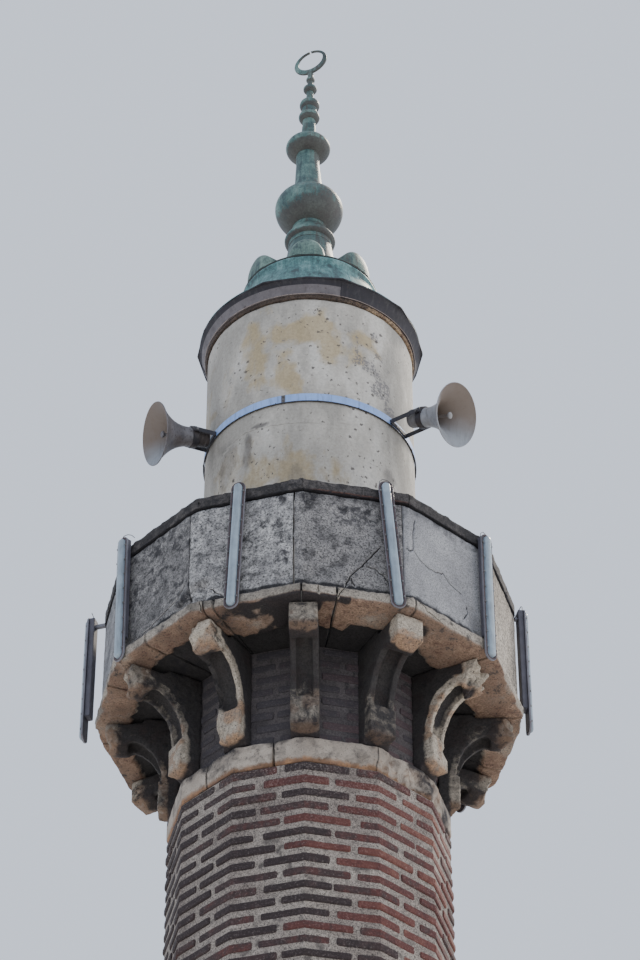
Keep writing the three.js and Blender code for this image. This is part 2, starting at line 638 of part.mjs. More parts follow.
function makeFinial() {
  const lower = [[0, JOINT], [193, JOINT], ...LOWER_OUTLINE];
  const lowerHeight = FINIAL_SPLIT - ROOF_TOP;
  lower.push([ROD_RADIUS, lowerHeight], [0, lowerHeight]);
  const lowerPart = turned(above(ROOF_TOP, lower), 24);
  add('finial_lower', leaning(lowerPart, ROOF_TOP, LOWER_LEAN, 0), COPPER, 0.7, 0.2);

  const upper = [[0, JOINT], [ROD_RADIUS - 1, JOINT], ...UPPER_OUTLINE];
  const upperHeight = FINIAL_TOP - FINIAL_SPLIT;
  upper.push([TIP_RADIUS, upperHeight], [0, upperHeight]);
  const bend = LOWER_LEAN * lowerHeight;
  const upperPart = turned(above(FINIAL_SPLIT, upper), 16);
  add('finial_upper', leaning(upperPart, FINIAL_SPLIT, UPPER_LEAN, bend), COPPER, 0.7, 0.2);

  const tip = bend + UPPER_LEAN * upperHeight;
  add('crescent', crescentGeometry().translate(tip, 0, FINIAL_TOP + JOINT), COPPER, 0.7, 0.2);
}

makeBase();
makeShaft();
makeBrackets();
makeBalcony();
makeLamps();
makeUpperDrum();
makeLoudspeakers();
makeRoof();
makeFinial();

export default part;
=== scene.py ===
import math
from functools import partial

import bmesh
import bpy
from mathutils import Matrix, Vector, noise


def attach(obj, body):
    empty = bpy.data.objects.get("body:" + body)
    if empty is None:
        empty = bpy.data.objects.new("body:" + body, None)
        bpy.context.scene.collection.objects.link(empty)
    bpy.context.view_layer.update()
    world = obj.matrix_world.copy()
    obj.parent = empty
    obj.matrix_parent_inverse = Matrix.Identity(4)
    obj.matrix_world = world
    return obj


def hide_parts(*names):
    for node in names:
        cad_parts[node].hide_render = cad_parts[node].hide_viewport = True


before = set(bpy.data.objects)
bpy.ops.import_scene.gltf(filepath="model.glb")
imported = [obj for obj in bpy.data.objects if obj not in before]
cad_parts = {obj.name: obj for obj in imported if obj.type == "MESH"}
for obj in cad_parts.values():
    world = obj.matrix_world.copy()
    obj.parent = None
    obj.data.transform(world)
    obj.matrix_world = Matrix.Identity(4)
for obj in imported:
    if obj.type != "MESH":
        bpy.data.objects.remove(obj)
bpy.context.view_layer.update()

# The view
# The camera stands 21 m away at eye height and looks up by 40 degrees. The light is a studio's: a plain
# pale floor and surround, a soft sun high up behind the right side, and a wide, low light from the right.
FRAME_HEIGHT = 960
FOCAL_PIXELS = 3287.3
SENSOR = 36
VIEW_AZIMUTH = math.radians(1.71)
VIEW_DISTANCE = 21.36
EYE_HEIGHT = 1.6
TILT = math.radians(90 + 40.3144)
SIDEWAYS = math.radians(0.2359)
ROLL = math.radians(-0.0478)
FLOOR_HALF = 45
# Name, strength, spread in degrees, colour, and the azimuth and height in degrees that it comes from
LIGHTS = [("soft_sun", 3.3, 8, "fff4e2", 142, 50), ("right_fill", 1.1, 70, "fff6ea", 88, 12)]


def put(name, data):
    """A new object in the scene."""
    made = bpy.data.objects.new(name, data)
    bpy.context.scene.collection.objects.link(made)
    return made


camera = put("camera", bpy.data.cameras.new("camera"))
camera.data.sensor_fit = "VERTICAL"
camera.data.sensor_height = SENSOR
camera.data.lens = FOCAL_PIXELS / FRAME_HEIGHT * SENSOR
camera.data.clip_end = 500
camera.matrix_world = (
    Matrix.Translation((
        VIEW_DISTANCE * math.sin(VIEW_AZIMUTH),
        -VIEW_DISTANCE * math.cos(VIEW_AZIMUTH),
        EYE_HEIGHT,
    ))
    @ Matrix.Rotation(VIEW_AZIMUTH - SIDEWAYS, 4, "Z")
    @ Matrix.Rotation(TILT, 4, "X")
    @ Matrix.Rotation(ROLL, 4, "Z")
)
bpy.context.scene.camera = camera


def paint(code):
    """The linear colour of an sRGB hex value."""
    parts = [int(code[i:i + 2], 16) / 255 for i in (0, 2, 4)]
    return (*(p / 12.92 if p <= 0.04045 else ((p + 0.055) / 1.055) ** 2.4 for p in parts), 1)


def add_node(tree, kind, inputs=None, stops=None, **settings):
    """Adds a node. A shader node's kind goes without the words ShaderNode in front.

    An input is a plain value, a socket, or a node whose first output is linked.
    """
    made = tree.nodes.new(kind if "Node" in kind else f"ShaderNode{kind}")
    for name, value in settings.items():
        setattr(made, name, value)
    for name, value in (inputs or {}).items():
        if isinstance(value, bpy.types.Node):
            value = value.outputs[0]
        if isinstance(value, bpy.types.NodeSocket):
            tree.links.new(value, made.inputs[name])
        else:
            made.inputs[name].default_value = value
    for i, (position, code) in enumerate(stops or []):
        ramp = made.color_ramp.elements
        stop = ramp[i] if i < 2 else ramp.new(position)
        stop.position = position
        stop.color = paint(code)
    return made


def new_finish(name):
    """An empty material, and the call that adds a node to it."""
    material = bpy.data.materials.new(name)
    material.use_nodes = True
    material.node_tree.nodes.clear()
    return material, partial(add_node, material.node_tree)


pale_floor, add = new_finish("pale matt floor")
matt = add("BsdfPrincipled", {"Base Color": paint("d8d6d2"), "Roughness": 0.9})
add("OutputMaterial", {"Surface": matt})
floor_mesh = bpy.data.meshes.new("floor")
floor_corners = [(x * FLOOR_HALF, y * FLOOR_HALF, 0) for x, y in ((-1, -1), (1, -1), (1, 1), (-1, 1))]
floor_mesh.from_pydata(floor_corners, [], [(0, 1, 2, 3)])
floor_mesh.materials.append(pale_floor)
put("floor", floor_mesh)

world = bpy.data.worlds.new("pale surround")
bpy.context.scene.world = world
world.use_nodes = True
world.node_tree.nodes.clear()
glow = add_node(world.node_tree, "Background", {"Color": paint("dbe4f4"), "Strength": 1.22})
add_node(world.node_tree, "OutputWorld", {"Surface": glow})

for name, energy, spread, colour, azimuth, height in LIGHTS:
    light = put(name, bpy.data.lights.new(name, "SUN"))
    light.data.energy = energy
    light.data.angle = math.radians(spread)
    light.data.color = paint(colour)[:3]
    light.rotation_euler = (math.radians(90 - height), 0, math.radians(azimuth))

# The stone base
# A square block of limestone: a plinth, ashlar walls with an arched doorway,
# a cornice, and the slope up to the shaft's twelve sides. The stones are
# sawn, laid in lime mortar on a rubble core, and weathered grey.
PLINTH_WIDTH = 3.1
PLINTH_TOP = 0.4
BASE_WIDTH = 2.94
BASE_TOP = 4.3
CORNICE_WIDTH = 3.08
CORNICE_TOP = 4.47
SLOPE_TOP = 5.8
SIDES = 12
SIDE_ANGLE = 360 / SIDES
RING_RADIUS = 1.115
ASHLAR_PITCH = 0.325
FACING_DEPTH = 0.03
MORTAR_GAP = 0.006
DOOR_HALF = 0.41
DOOR_SPRINGING = 1.9
VOUSSOIR_DEPTH = 0.3
FRAME_GAP = 0.004
FRAME_PROUD = 0.022
# A point of a block that is nearer a corner than this, counted in blocks, moves onto the corner
CORNER_SNAP = 0.062


def end_finish(add, colour, roughness, height, strength, distance, metallic=0):
    """Ends a finish with its colour, its roughness, and relief from a height."""
    relief = add("Bump", {"Strength": strength, "Distance": distance, "Height": height})
    surface = add("BsdfPrincipled", {
        "Base Color": colour, "Roughness": roughness, "Metallic": metallic, "Normal": relief})
    add("OutputMaterial", {"Surface": surface})


def stone_finish(name, pale, deep, lichen, cover, stain="957760", grit=0.012, pitting=0.5, speckle=0.6):
    """Weathered stone or render: two tones in patches, lichen, pits, and dirt and painted shade where a
    mesh is marked.
    """
    material, add = new_finish(name)
    place = add("TexCoord").outputs["Object"]
    patches = add("TexNoise", {"Vector": place, "Scale": 2.4, "Detail": 7, "Roughness": 0.62})
    blotches = add("TexNoise", {
        "Vector": place, "Scale": 13, "Detail": 9, "Roughness": 0.72, "Distortion": 0.4})
    grains = add("TexNoise", {"Vector": place, "Scale": 0.75 / grit, "Detail": 5, "Roughness": 0.82})
    pits = add("TexVoronoi", {"Vector": place, "Scale": 0.35 / grit, "Randomness": 1})
    body = add("ValToRGB", {"Fac": patches}, stops=[(0.36, deep), (0.62, pale)])
    stained = add("ValToRGB", {"Fac": blotches}, stops=[(0.36, "64483c"), (0.56, stain)])
    sum_of_both = add("Math", {0: blotches, 1: patches}, operation="ADD")
    with_grains = add("Math", {0: grains, 1: 0.8, 2: sum_of_both}, operation="MULTIPLY_ADD")
    lichened = add("MapRange", {
        "Value": with_grains, "From Min": 1.6 - cover, "From Max": 1.68 - cover, "To Max": 0.85})
    # The last mark darkens nearly to black: soot, and on some pieces painted shade in hollows and under
    # ledges.
    for mark_name, colour in (("stain", stained), ("lichen", paint(lichen)), ("soot_and_shade", paint("1d1c22"))):
        amount = add("Attribute", attribute_name=mark_name).outputs["Fac"]
        pushed = add("Math", {0: amount, 1: 0.9, 2: blotches}, operation="MULTIPLY_ADD")
        crisp = add("Math", {0: grains, 1: 0.4, 2: pushed}, operation="MULTIPLY_ADD")
        share = add("MapRange", {
            "Value": crisp, "From Min": 0.95, "From Max": 1.3, "To Max": 0.94})
        if mark_name == "lichen":
            share = add("Math", {0: share, 1: lichened}, operation="MAXIMUM")
        body = add("MixRGB", {"Fac": share, "Color1": body, "Color2": colour})
    grain_tone = add("ValToRGB", {"Fac": grains}, stops=[(0.39, "606060"), (0.57, "ffffff")])
    speckled = add("MixRGB", {
        "Fac": speckle, "Color1": body, "Color2": grain_tone}, blend_type="MULTIPLY")
    pitted = add("MapRange", {
        "Value": pits.outputs["Distance"], "From Min": 0.2, "From Max": 0.12, "To Max": pitting})
    holed = add("MixRGB", {"Fac": pitted, "Color1": speckled, "Color2": paint("2f2d2e")})
    height = add("Math", {0: grains, 1: 0.5, 2: blotches}, operation="MULTIPLY_ADD")
    hollow = add("Math", {0: height, 1: pitted}, operation="SUBTRACT")
    end_finish(add, holed, 0.93, hollow, 0.55, 0.006)
    return material


# Sawn limestone, gone grey: cream in patches, with grey algae and small dark pits
base_limestone = stone_finish("weathered sawn limestone", "b0a999", "8f8878", "6d6a62", 0.02)
# Lime mortar with brick grit: warm, pale and sandy, full of pits
lime_mortar = stone_finish(
    "gritty lime mortar", "b0a69c", "867b74", "544d4b", 0.06, grit=0.009, pitting=0.9, speckle=0.95)


def mesh_of(build, *finishes):
    """The mesh of what has been built, with its faces turned outwards."""
    bmesh.ops.recalc_face_normals(build, faces=build.faces)
    mesh = bpy.data.meshes.new("made")
    build.to_mesh(mesh)
    build.free()
    for finish in finishes:
        mesh.materials.append(finish)
    return mesh


def skin(build, rows, capped=True):
    """Skins rows of points, each row a closed loop, into a solid with capped ends, or closed on itself."""
    rings = [[build.verts.new(point) for point in row] for row in rows]
    for ring, after in zip(rings, rings[1:] if capped else rings[1:] + rings[:1]):
        for i in range(len(ring)):
            j = (i + 1) % len(ring)
            build.faces.new((ring[i], ring[j], after[j], after[i]))
    if capped:
        build.faces.new(rings[0])
        build.faces.new(rings[-1])


def stand(name, mesh, slot, *nodes):
    """Stands a finished mesh in the scene as a piece of the fixed body, in place of any nodes named."""
    mesh.name = name
    piece = put(name, mesh)
    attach(piece, "root")
    if nodes:
        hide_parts(*nodes)
    return piece


def dress(node, material):
    """Gives a CAD node that stays its own finish."""
    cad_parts[node].material_slots[0].material = material


def applied(piece):
    """The plain mesh that a piece's modifiers make."""
    return bpy.data.meshes.new_from_object(piece.evaluated_get(bpy.context.evaluated_depsgraph_get()))


def grow(mesh, trees_and_sizes, voxel=None):
    """The plain mesh that Geometry Nodes trees make of a mesh, each tree with its own sizes."""
    maker = put("maker", mesh)
    if voxel:
        remesh = maker.modifiers.new("voxels", "REMESH")
        remesh.mode = "VOXEL"
        remesh.voxel_size = voxel
    for tree, sizes in trees_and_sizes:
        modifier = maker.modifiers.new(tree.name, "NODES")
        modifier.node_group = tree
        for socket in tree.interface.items_tree:
            if socket.in_out == "INPUT" and socket.name in sizes:
                modifier[socket.identifier] = sizes[socket.name]
    made = applied(maker)
    bpy.data.objects.remove(maker)
    return made


def new_tree(name, sizes):
    """A Geometry Nodes tree with named inputs for its sizes, the call that adds a node, and the inputs."""
    tree = bpy.data.node_groups.new(name, "GeometryNodeTree")
    add = partial(add_node, tree)
    tree.interface.new_socket("Geometry", in_out="OUTPUT", socket_type="NodeSocketGeometry")
    tree.interface.new_socket("Geometry", in_out="INPUT", socket_type="NodeSocketGeometry")
    for size, kind in sizes.items():
        tree.interface.new_socket(size, in_out="INPUT", socket_type=f"NodeSocket{kind}")
    return tree, add, add("NodeGroupInput").outputs


def end_tree(add, geometry, given):
    """Ends a tree with real meshes, in the finish given."""
    real = add("GeometryNodeRealizeInstances", {0: geometry})
    coloured = add("GeometryNodeSetMaterial", {"Geometry": real, "Material": given["Finish"]})
    add("NodeGroupOutput", {0: coloured})


def courses_tree():
    """Lays courses of blocks round a regular tower: a block may bend round a corner, as the real ones do.

    The block that comes in runs from 0 to 1 in X along the wall, from 0 at the wall to 1 at its face in Y,
    and from -0.5 to 0.5 in Z.
    """
    tree, add, given = new_tree("courses", {
        "Sides": "Int", "Radius": "Float", "Turn": "Float", "Top": "Float", "Courses": "Int",
        "Pitch": "Float", "Blocks a side": "Int", "Even joint": "Float", "Odd joint": "Float",
        "Joint share": "Float", "Height": "Float", "Proud": "Float", "Unevenness": "Float", "Seed": "Int",
        "Finish": "Material"})
    round_it = add("Math", {0: given["Sides"], 1: given["Blocks a side"]}, operation="MULTIPLY")
    total = add("Math", {0: round_it, 1: given["Courses"]}, operation="MULTIPLY")
    points = add("GeometryNodePoints", {"Count": total})
    laid = add("GeometryNodeInstanceOnPoints", {"Points": points, "Instance": given["Geometry"]})
    numbered = add("GeometryNodeStoreNamedAttribute", {
        "Geometry": laid, "Name": "block", "Value": add("GeometryNodeInputIndex")},
        data_type="INT", domain="INSTANCE")
    real = add("GeometryNodeRealizeInstances", {0: numbered})

    block = add("GeometryNodeInputNamedAttribute", {"Name": "block"}, data_type="INT")
    local = add("SeparateXYZ", {0: add("GeometryNodeInputPosition")}).outputs
    chances = []
    ranges = [(0.3, 1.5), (0.3, 1.5), (0.88, 1.1), (0.5, 1.4), (-0.4, 0.4), (0, 1)]
    for i, (least, most) in enumerate(ranges):
        seed = add("Math", {0: given["Seed"], 1: i}, operation="ADD")
        chances.append(add("FunctionNodeRandomValue", {
            2: least, 3: most, "ID": block, "Seed": seed}).outputs[1])
    start_gap, end_gap, height_share, proud_share, shift, tone = chances

    course_part = add("Math", {0: block, 1: round_it}, operation="DIVIDE")
    course = add("Math", {0: course_part}, operation="FLOOR")
    number = add("Math", {0: block, 1: round_it}, operation="FLOORED_MODULO")
    odd = add("Math", {0: course, 1: 2}, operation="FLOORED_MODULO")
    joint = add("Mix", {0: odd, 2: given["Even joint"], 3: given["Odd joint"]})
    loose_joint = add("Math", {0: shift, 1: given["Joint share"], 2: joint}, operation="MULTIPLY_ADD")
    start = add("Math", {0: number, 1: loose_joint}, operation="ADD")
    from_place = add("Math", {0: start_gap, 1: given["Joint share"], 2: start}, operation="MULTIPLY_ADD")
    next_start = add("Math", {0: start, 1: 1}, operation="ADD")
    taken = add("Math", {0: end_gap, 1: given["Joint share"]}, operation="MULTIPLY")
    to_place = add("Math", {0: next_start, 1: taken}, operation="SUBTRACT")
    along = add("Mix", {0: local["X"], 2: from_place, 3: to_place}, clamp_factor=False)
    in_sides = add("Math", {0: along, 1: given["Blocks a side"]}, operation="DIVIDE")

    # A point near a corner moves onto it, so that the block bends there and nowhere else
    corner = add("Math", {0: in_sides}, operation="ROUND")
    off_corner = add("Math", {0: in_sides, 1: corner}, operation="SUBTRACT")
    off_in_blocks = add("Math", {0: off_corner, 1: given["Blocks a side"]}, operation="MULTIPLY")
    off_size = add("Math", {0: off_in_blocks}, operation="ABSOLUTE")
    near = add("Math", {0: off_size, 1: CORNER_SNAP}, operation="LESS_THAN")
    snapped = add("Mix", {0: near, 2: in_sides, 3: corner})
    share = add("Math", {0: snapped, 1: given["Sides"]}, operation="DIVIDE")
    wrapped = add("Math", {0: share}, operation="FRACT")
    outline = add("GeometryNodeCurvePrimitiveCircle", {
        "Resolution": given["Sides"], "Radius": given["Radius"]})
    found = add("GeometryNodeSampleCurve", {"Curves": outline, "Factor": wrapped}, mode="FACTOR")
    outward = add("VectorMath", {0: found.outputs["Tangent"], 1: (0, 0, 1)}, operation="CROSS_PRODUCT")
    reach = add("Math", {0: local["Y"], 1: proud_share}, operation="MULTIPLY")
    standing_out = add("Math", {0: reach, 1: given["Proud"]}, operation="MULTIPLY")
    on_face = add("VectorMath", {0: outward, "Scale": standing_out}, operation="SCALE")
    in_plan = add("VectorMath", {0: found.outputs["Position"], 1: on_face}, operation="ADD")
    turn = add("Math", {0: given["Turn"], 1: -math.pi / 2}, operation="ADD")
    turned = add("VectorRotate", {"Vector": in_plan, "Angle": turn}, rotation_type="Z_AXIS")

    drop = add("Math", {0: course, 1: given["Pitch"]}, operation="MULTIPLY")
    level = add("Math", {0: given["Top"], 1: drop}, operation="SUBTRACT")
    tall = add("Math", {0: given["Height"], 1: height_share}, operation="MULTIPLY")
    rise = add("Math", {0: local["Z"], 1: tall, 2: level}, operation="MULTIPLY_ADD")
    up = add("CombineXYZ", {"Z": rise})
    placed = add("VectorMath", {0: turned, 1: up}, operation="ADD")
    settled = add("GeometryNodeSetPosition", {"Geometry": real, "Position": placed})

    # Hand work: each surface wanders a little, and the courses with it
    surface = add("GeometryNodeInputPosition")
    pulls = []
    for scale, weight in ((22, 1.0), (1.6, 2.4)):
        wander = add("TexNoise", {"Vector": surface, "Scale": scale, "Detail": 2})
        centred = add("VectorMath", {0: wander.outputs["Color"], 1: (-0.5, -0.5, -0.5)}, operation="ADD")
        pulls.append(add("VectorMath", {0: centred, "Scale": weight}, operation="SCALE"))
    pull = add("VectorMath", {0: pulls[0], 1: pulls[1]}, operation="ADD")
    uneven = add("VectorMath", {0: pull, "Scale": given["Unevenness"]}, operation="SCALE")
    worn = add("GeometryNodeSetPosition", {"Geometry": settled, "Offset": uneven})
    toned = add("GeometryNodeStoreNamedAttribute", {
        "Geometry": worn, "Name": "tone", "Value": tone}, data_type="FLOAT", domain="POINT")
    end_tree(add, toned, given)
    return tree


def unit_block(columns, section):
    """One block for the courses: a section (Y, Z) swept through columns (X, share of Y, share of Z)."""
    build = bmesh.new()
    skin(build, [[(x, y * deep, z * tall) for y, z in section] for x, deep, tall in columns])
    return mesh_of(build)


courses = courses_tree()
ashlar = unit_block(
    [(0, 0.2, 0.985), (0.012, 1, 1), (0.13, 1, 1), (0.25, 1, 1), (0.37, 1, 1), (0.5, 1, 1), (0.62, 1, 1),
     (0.74, 1, 1), (0.86, 1, 1), (0.988, 1, 1), (1, 0.2, 0.985)],
    [(-3, -0.5), (0.2, -0.5), (1, -0.475), (1, 0), (1, 0.475), (0.2, 0.5), (-3, 0.5)])
square = {"Sides": 4, "Turn": math.radians(45), "Blocks a side": 5, "Joint share": MORTAR_GAP,
          "Even joint": 0.3, "Odd joint": 0.8, "Unevenness": 0.003, "Finish": base_limestone}
wall_stones = grow(ashlar, [(courses, {
    **square, "Radius": BASE_WIDTH / math.sqrt(2), "Top": BASE_TOP - ASHLAR_PITCH / 2, "Courses": 12,
    "Pitch": ASHLAR_PITCH, "Height": ASHLAR_PITCH - 0.008, "Proud": 0.007, "Seed": 3})])
plinth_stones = grow(ashlar, [(courses, {
    **square, "Radius": PLINTH_WIDTH / math.sqrt(2), "Top": PLINTH_TOP - 0.1, "Courses": 2,
    "Blocks a side": 3, "Pitch": 0.2, "Height": 0.17, "Proud": 0.007, "Unevenness": 0.002, "Seed": 5})])


def cut_away(piece, cutter_mesh):
    """Cuts a closed mesh out of a piece, and clears the cutter away."""
    cutter = put("cutter", cutter_mesh)
    modifier = piece.modifiers.new("cut", "BOOLEAN")
    modifier.operation = "DIFFERENCE"
    modifier.solver = "MANIFOLD"
    modifier.object = cutter
    left = applied(piece)
    piece.modifiers.remove(modifier)
    piece.data = left
    bpy.data.objects.remove(cutter)


def arch_outline(half, springing, foot, steps=16):
    """An arched opening's outline in X and Z, from its right foot round to its left foot."""
    crown = [(half * math.cos(math.pi * i / steps), springing + half * math.sin(math.pi * i / steps))
             for i in range(steps + 1)]
    return [(half, foot), *crown, (-half, foot)]


def pushed_out(outline, front, back):
    """A closed solid with an outline in X and Z, from front to back in Y."""
    build = bmesh.new()
    skin(build, [[(x, y, z) for x, z in outline] for y in (front, back)])
    return mesh_of(build)


dress("base_plinth", lime_mortar)
dress("base_walls", lime_mortar)
dress("transition", lime_mortar)
stand("plinth_stones", plinth_stones, "base_stone")
walls = stand("wall_stones", wall_stones, "base_stone")
door_ring = arch_outline(DOOR_HALF + VOUSSOIR_DEPTH + MORTAR_GAP, DOOR_SPRINGING, 0.2)
cut_away(walls, pushed_out(door_ring, -BASE_WIDTH / 2 - 0.1, -BASE_WIDTH / 2 + 0.1))

# The doorway's frame: thirteen voussoirs on jambs of five stones each
frame_build = bmesh.new()
frame_front = -BASE_WIDTH / 2 - FRAME_PROUD
frame_back = -BASE_WIDTH / 2 + FACING_DEPTH
frame_stones = []
voussoirs = 13
for i in range(voussoirs):
    a, b = (math.pi * (i + e) / voussoirs for e in (0.015, 0.985))
    inner, outer = DOOR_HALF + FRAME_GAP, DOOR_HALF + VOUSSOIR_DEPTH
    angles = [a + (b - a) * j / 3 for j in range(4)]
    ring = [(inner * math.cos(t), DOOR_SPRINGING + inner * math.sin(t)) for t in angles]
    ring += [(outer * math.cos(t), DOOR_SPRINGING + outer * math.sin(t)) for t in reversed(angles)]
    frame_stones.append(ring)
jambs = 5
rise = (DOOR_SPRINGING - PLINTH_TOP) / jambs
for side in (-1, 1):
    for i in range(jambs):
        low, high = PLINTH_TOP + i * rise + FRAME_GAP, PLINTH_TOP + (i + 1) * rise - FRAME_GAP
        near, far = side * (DOOR_HALF + FRAME_GAP), side * (DOOR_HALF + VOUSSOIR_DEPTH)
        frame_stones.append([(near, low), (far, low), (far, high), (near, high)])
for ring in frame_stones:
    skin(frame_build, [[(x, y, z) for x, z in ring] for y in (frame_front, frame_back)])
front_edges = [e for e in frame_build.edges if all(v.co.y < frame_front + 0.001 for v in e.verts)]
bmesh.ops.bevel(frame_build, geom=front_edges, offset=0.006, segments=2, affect="EDGES")
stand("door_frame_stones", mesh_of(frame_build, base_limestone), "base_stone")


def polygon_plan(sides, turn):
    """The plan of a regular tower: a place counted in sides, at a corner radius, gives a point."""
    def plan(place, reach, height):
        side = math.floor(place + 1e-9)
        a, b = (math.radians(turn + 360 / sides * (side + i)) for i in (0, 1))
        start = Vector((math.sin(a), -math.cos(a)))
        return start.lerp(Vector((math.sin(b), -math.cos(b))), place - side) * reach
    return plan


def section(inner, outer, bottom, top, cell, back_cell=0.1):
    """A stone's cross-section as a closed loop of (reach, height), fine on the faces that show."""
    corners = [(outer, bottom), (outer, top), (inner, top), (inner, bottom)]
    loop = []
    steps = (cell, cell, back_cell, cell)
    for (x, z), (next_x, next_z), step in zip(corners, corners[1:] + corners[:1], steps):
        count = max(1, round(math.hypot(next_x - x, next_z - z) / step))
        loop += [(x + (next_x - x) * i / count, z + (next_z - z) * i / count) for i in range(count)]
    return loop


def lay_stones(build, plan, spans, loop, step):
    """Lays stones end to end: each span of places sweeps the loop, with a column at each corner."""
    for start, end in spans:
        count = max(2, round((end - start) / step))
        places = {start + (end - start) * i / count for i in range(count + 1)}
        corners = {float(c) for c in range(math.ceil(start), math.floor(end) + 1)}
        places = {place for place in places if place in (start, end)
                  or min(abs(place - corner) for corner in corners | {1e9}) > step / 3}
        skin(build, [[(*plan(place, reach, height), height) for reach, height in loop]
                     for place in sorted(places | corners)])


def stone_wear_tree():
    """Wears a fine mesh as weather wears stone: edges soften and chip, and the surface is pitted."""
    tree, add, given = new_tree("stone wear", {
        "Edge wear": "Float", "Softening": "Int", "Depth": "Float", "Grain": "Float", "Chip": "Float",
        "Finish": "Material"})
    here = add("GeometryNodeInputPosition")
    soft = add("GeometryNodeBlurAttribute", {
        "Value": here, "Iterations": given["Softening"]}, data_type="FLOAT_VECTOR")
    chip_scale = add("Math", {0: 1, 1: given["Chip"]}, operation="DIVIDE")
    chips = add("TexNoise", {"Vector": here, "Scale": chip_scale, "Detail": 3})
    where = add("MapRange", {"Value": chips, "From Min": 0.38, "From Max": 0.64, "To Min": 0.25})
    amount = add("Math", {0: where, 1: given["Edge wear"]}, operation="MULTIPLY", use_clamp=True)
    softened = add("Mix", {0: amount, 4: here, 5: soft}, data_type="VECTOR")
    grain_scale = add("Math", {0: 1, 1: given["Grain"]}, operation="DIVIDE")
    grain = add("TexNoise", {"Vector": here, "Scale": grain_scale, "Detail": 5, "Roughness": 0.65})
    depth = add("Math", {0: grain, 1: given["Depth"]}, operation="MULTIPLY")
    inward = add("Math", {0: depth, 1: -1}, operation="MULTIPLY")
    pushed = add("VectorMath", {0: add("GeometryNodeInputNormal"), "Scale": inward}, operation="SCALE")
    weathered = add("GeometryNodeSetPosition", {
        "Geometry": given["Geometry"], "Position": softened.outputs[1], "Offset": pushed})
    smooth = add("GeometryNodeSetShadeSmooth", {"Geometry": weathered})
    end_tree(add, smooth, given)
    return tree


stone_wear = stone_wear_tree()
sawn_wear = {"Edge wear": 0.9, "Softening": 2, "Depth": 0.004, "Grain": 0.05, "Chip": 0.12}


def worn_stones(plan, spans, loop, step, wear, finish):
    """A mesh of stones laid end to end, with the wear given."""
    build = bmesh.new()
    lay_stones(build, plan, spans, loop, step)
    return grow(mesh_of(build, finish), [(stone_wear, {**wear, "Finish": finish})])


# The cornice's moulding: a fillet, a hollow and a sloping top
low, high = BASE_TOP + 0.0005, CORNICE_TOP
wall_reach, cornice_reach = BASE_WIDTH / math.sqrt(2), CORNICE_WIDTH / math.sqrt(2)
moulding = [
    (wall_reach + 0.01, low), (wall_reach + 0.02, low + 0.03), (wall_reach + 0.05, low + 0.06),
    (cornice_reach - 0.01, low + 0.085), (cornice_reach, low + 0.09), (cornice_reach, low + 0.115),
    (cornice_reach, low + 0.14), (cornice_reach - 0.03, high - 0.005), (cornice_reach - 0.07, high),
    (cornice_reach - 0.12, high), (wall_reach - 0.1, high), (1.0, high), (1.0, low),
    (wall_reach - 0.1, low)]
cornice_spans = [(i * 0.25 + 0.1 - 0.004, (i + 1) * 0.25 + 0.1 + 0.004) for i in range(16)]
stand("cornice_stones", worn_stones(
    polygon_plan(4, 45), cornice_spans, moulding, 0.03, sawn_wear, base_limestone),
    "base_stone", "base_cornice")


def slope_plan(place, reach, height):
    """The plan of the slope: at each height it lies between the square foot and the twelve-sided head."""
    share = (height - CORNICE_TOP) / (SLOPE_TOP - CORNICE_TOP)
    square_corners = [Vector((x, y)) * BASE_WIDTH / 2 for x, y in ((1, -1), (1, 1), (-1, 1), (-1, -1))]
    ring_corners = [Vector((math.sin(a), -math.cos(a))) * RING_RADIUS
                    for a in (math.radians(SIDE_ANGLE * i) for i in range(SIDES))]
    sides = sorted([90 * i for i in range(4)] + [SIDE_ANGLE * (i + 0.5) for i in range(SIDES)])
    outline = []
    for side, after in zip(sides, sides[1:] + [360]):
        halfway = math.radians((side + after) / 2)
        facing = Vector((math.sin(halfway), -math.cos(halfway)))
        foot = max(square_corners, key=lambda p: p.dot(facing))
        head = max(ring_corners, key=lambda p: p.dot(facing))
        outline.append(foot.lerp(head, share))
    side, count = math.floor(place + 1e-9), len(outline)
    point = outline[side % count].lerp(outline[(side + 1) % count], place - side)
    return point * (1 + reach / point.length)


SLOPE_CORNERS = 4 + SIDES
slope_build = bmesh.new()
slope_courses = 6
course_rise = (SLOPE_TOP - CORNICE_TOP - 0.004) / slope_courses
for i in range(slope_courses):
    low = CORNICE_TOP + 0.003 + i * course_rise
    high = low + course_rise - 0.007
    starts = [j + 0.5 + 0.12 * noise.noise((i * 3.1, j * 1.7, 0)) + 0.5 * (i % 2)
              for j in range(SLOPE_CORNERS)]
    stops_at = starts[1:] + [starts[0] + SLOPE_CORNERS]
    spans = [(a + 0.004, b - 0.004) for a, b in zip(starts, stops_at)]
    lay_stones(slope_build, slope_plan, spans, section(-0.03, 0.004, low, high, 0.06), 0.15)
slope = grow(mesh_of(slope_build, base_limestone), [(stone_wear, {
    **sawn_wear, "Edge wear": 0.3, "Softening": 1, "Depth": 0.003, "Finish": base_limestone})])
stand("slope_stones", slope, "base_stone")

# The two stone rings
# Cream limestone blocks, 24 cm high, that close the brick shaft below and
# above. Each is one worn course, set in mortar, and a thin bed of brown
# stone shows under the upper one, with rain-washed stains along it.
LOWER_RING_TOP = 6.04
SHAFT_TOP = 16.01
UPPER_RING_TOP = 16.245
UPPER_JOINTS = [-1.505, -0.43, 1.0, 2.5, 3.65, 5.0, 6.3, 7.6, 9.0, 10.495]
LOWER_JOINTS = [-0.6, 0.7, 1.9, 3.2, 4.4, 5.8, 7.1, 8.3, 9.7, 11.4]
BED = 0.035
BED_SETBACK = 0.009

# Cream limestone, washed by rain: warm, pale and nearly smooth, stained orange and brown at its foot
ring_limestone = stone_finish(
    "rain-washed cream limestone", "b5aa9d", "948a7f", "5f5955", -0.02, stain="9c7656",
    grit=0.008, pitting=0.6, speckle=0.3)


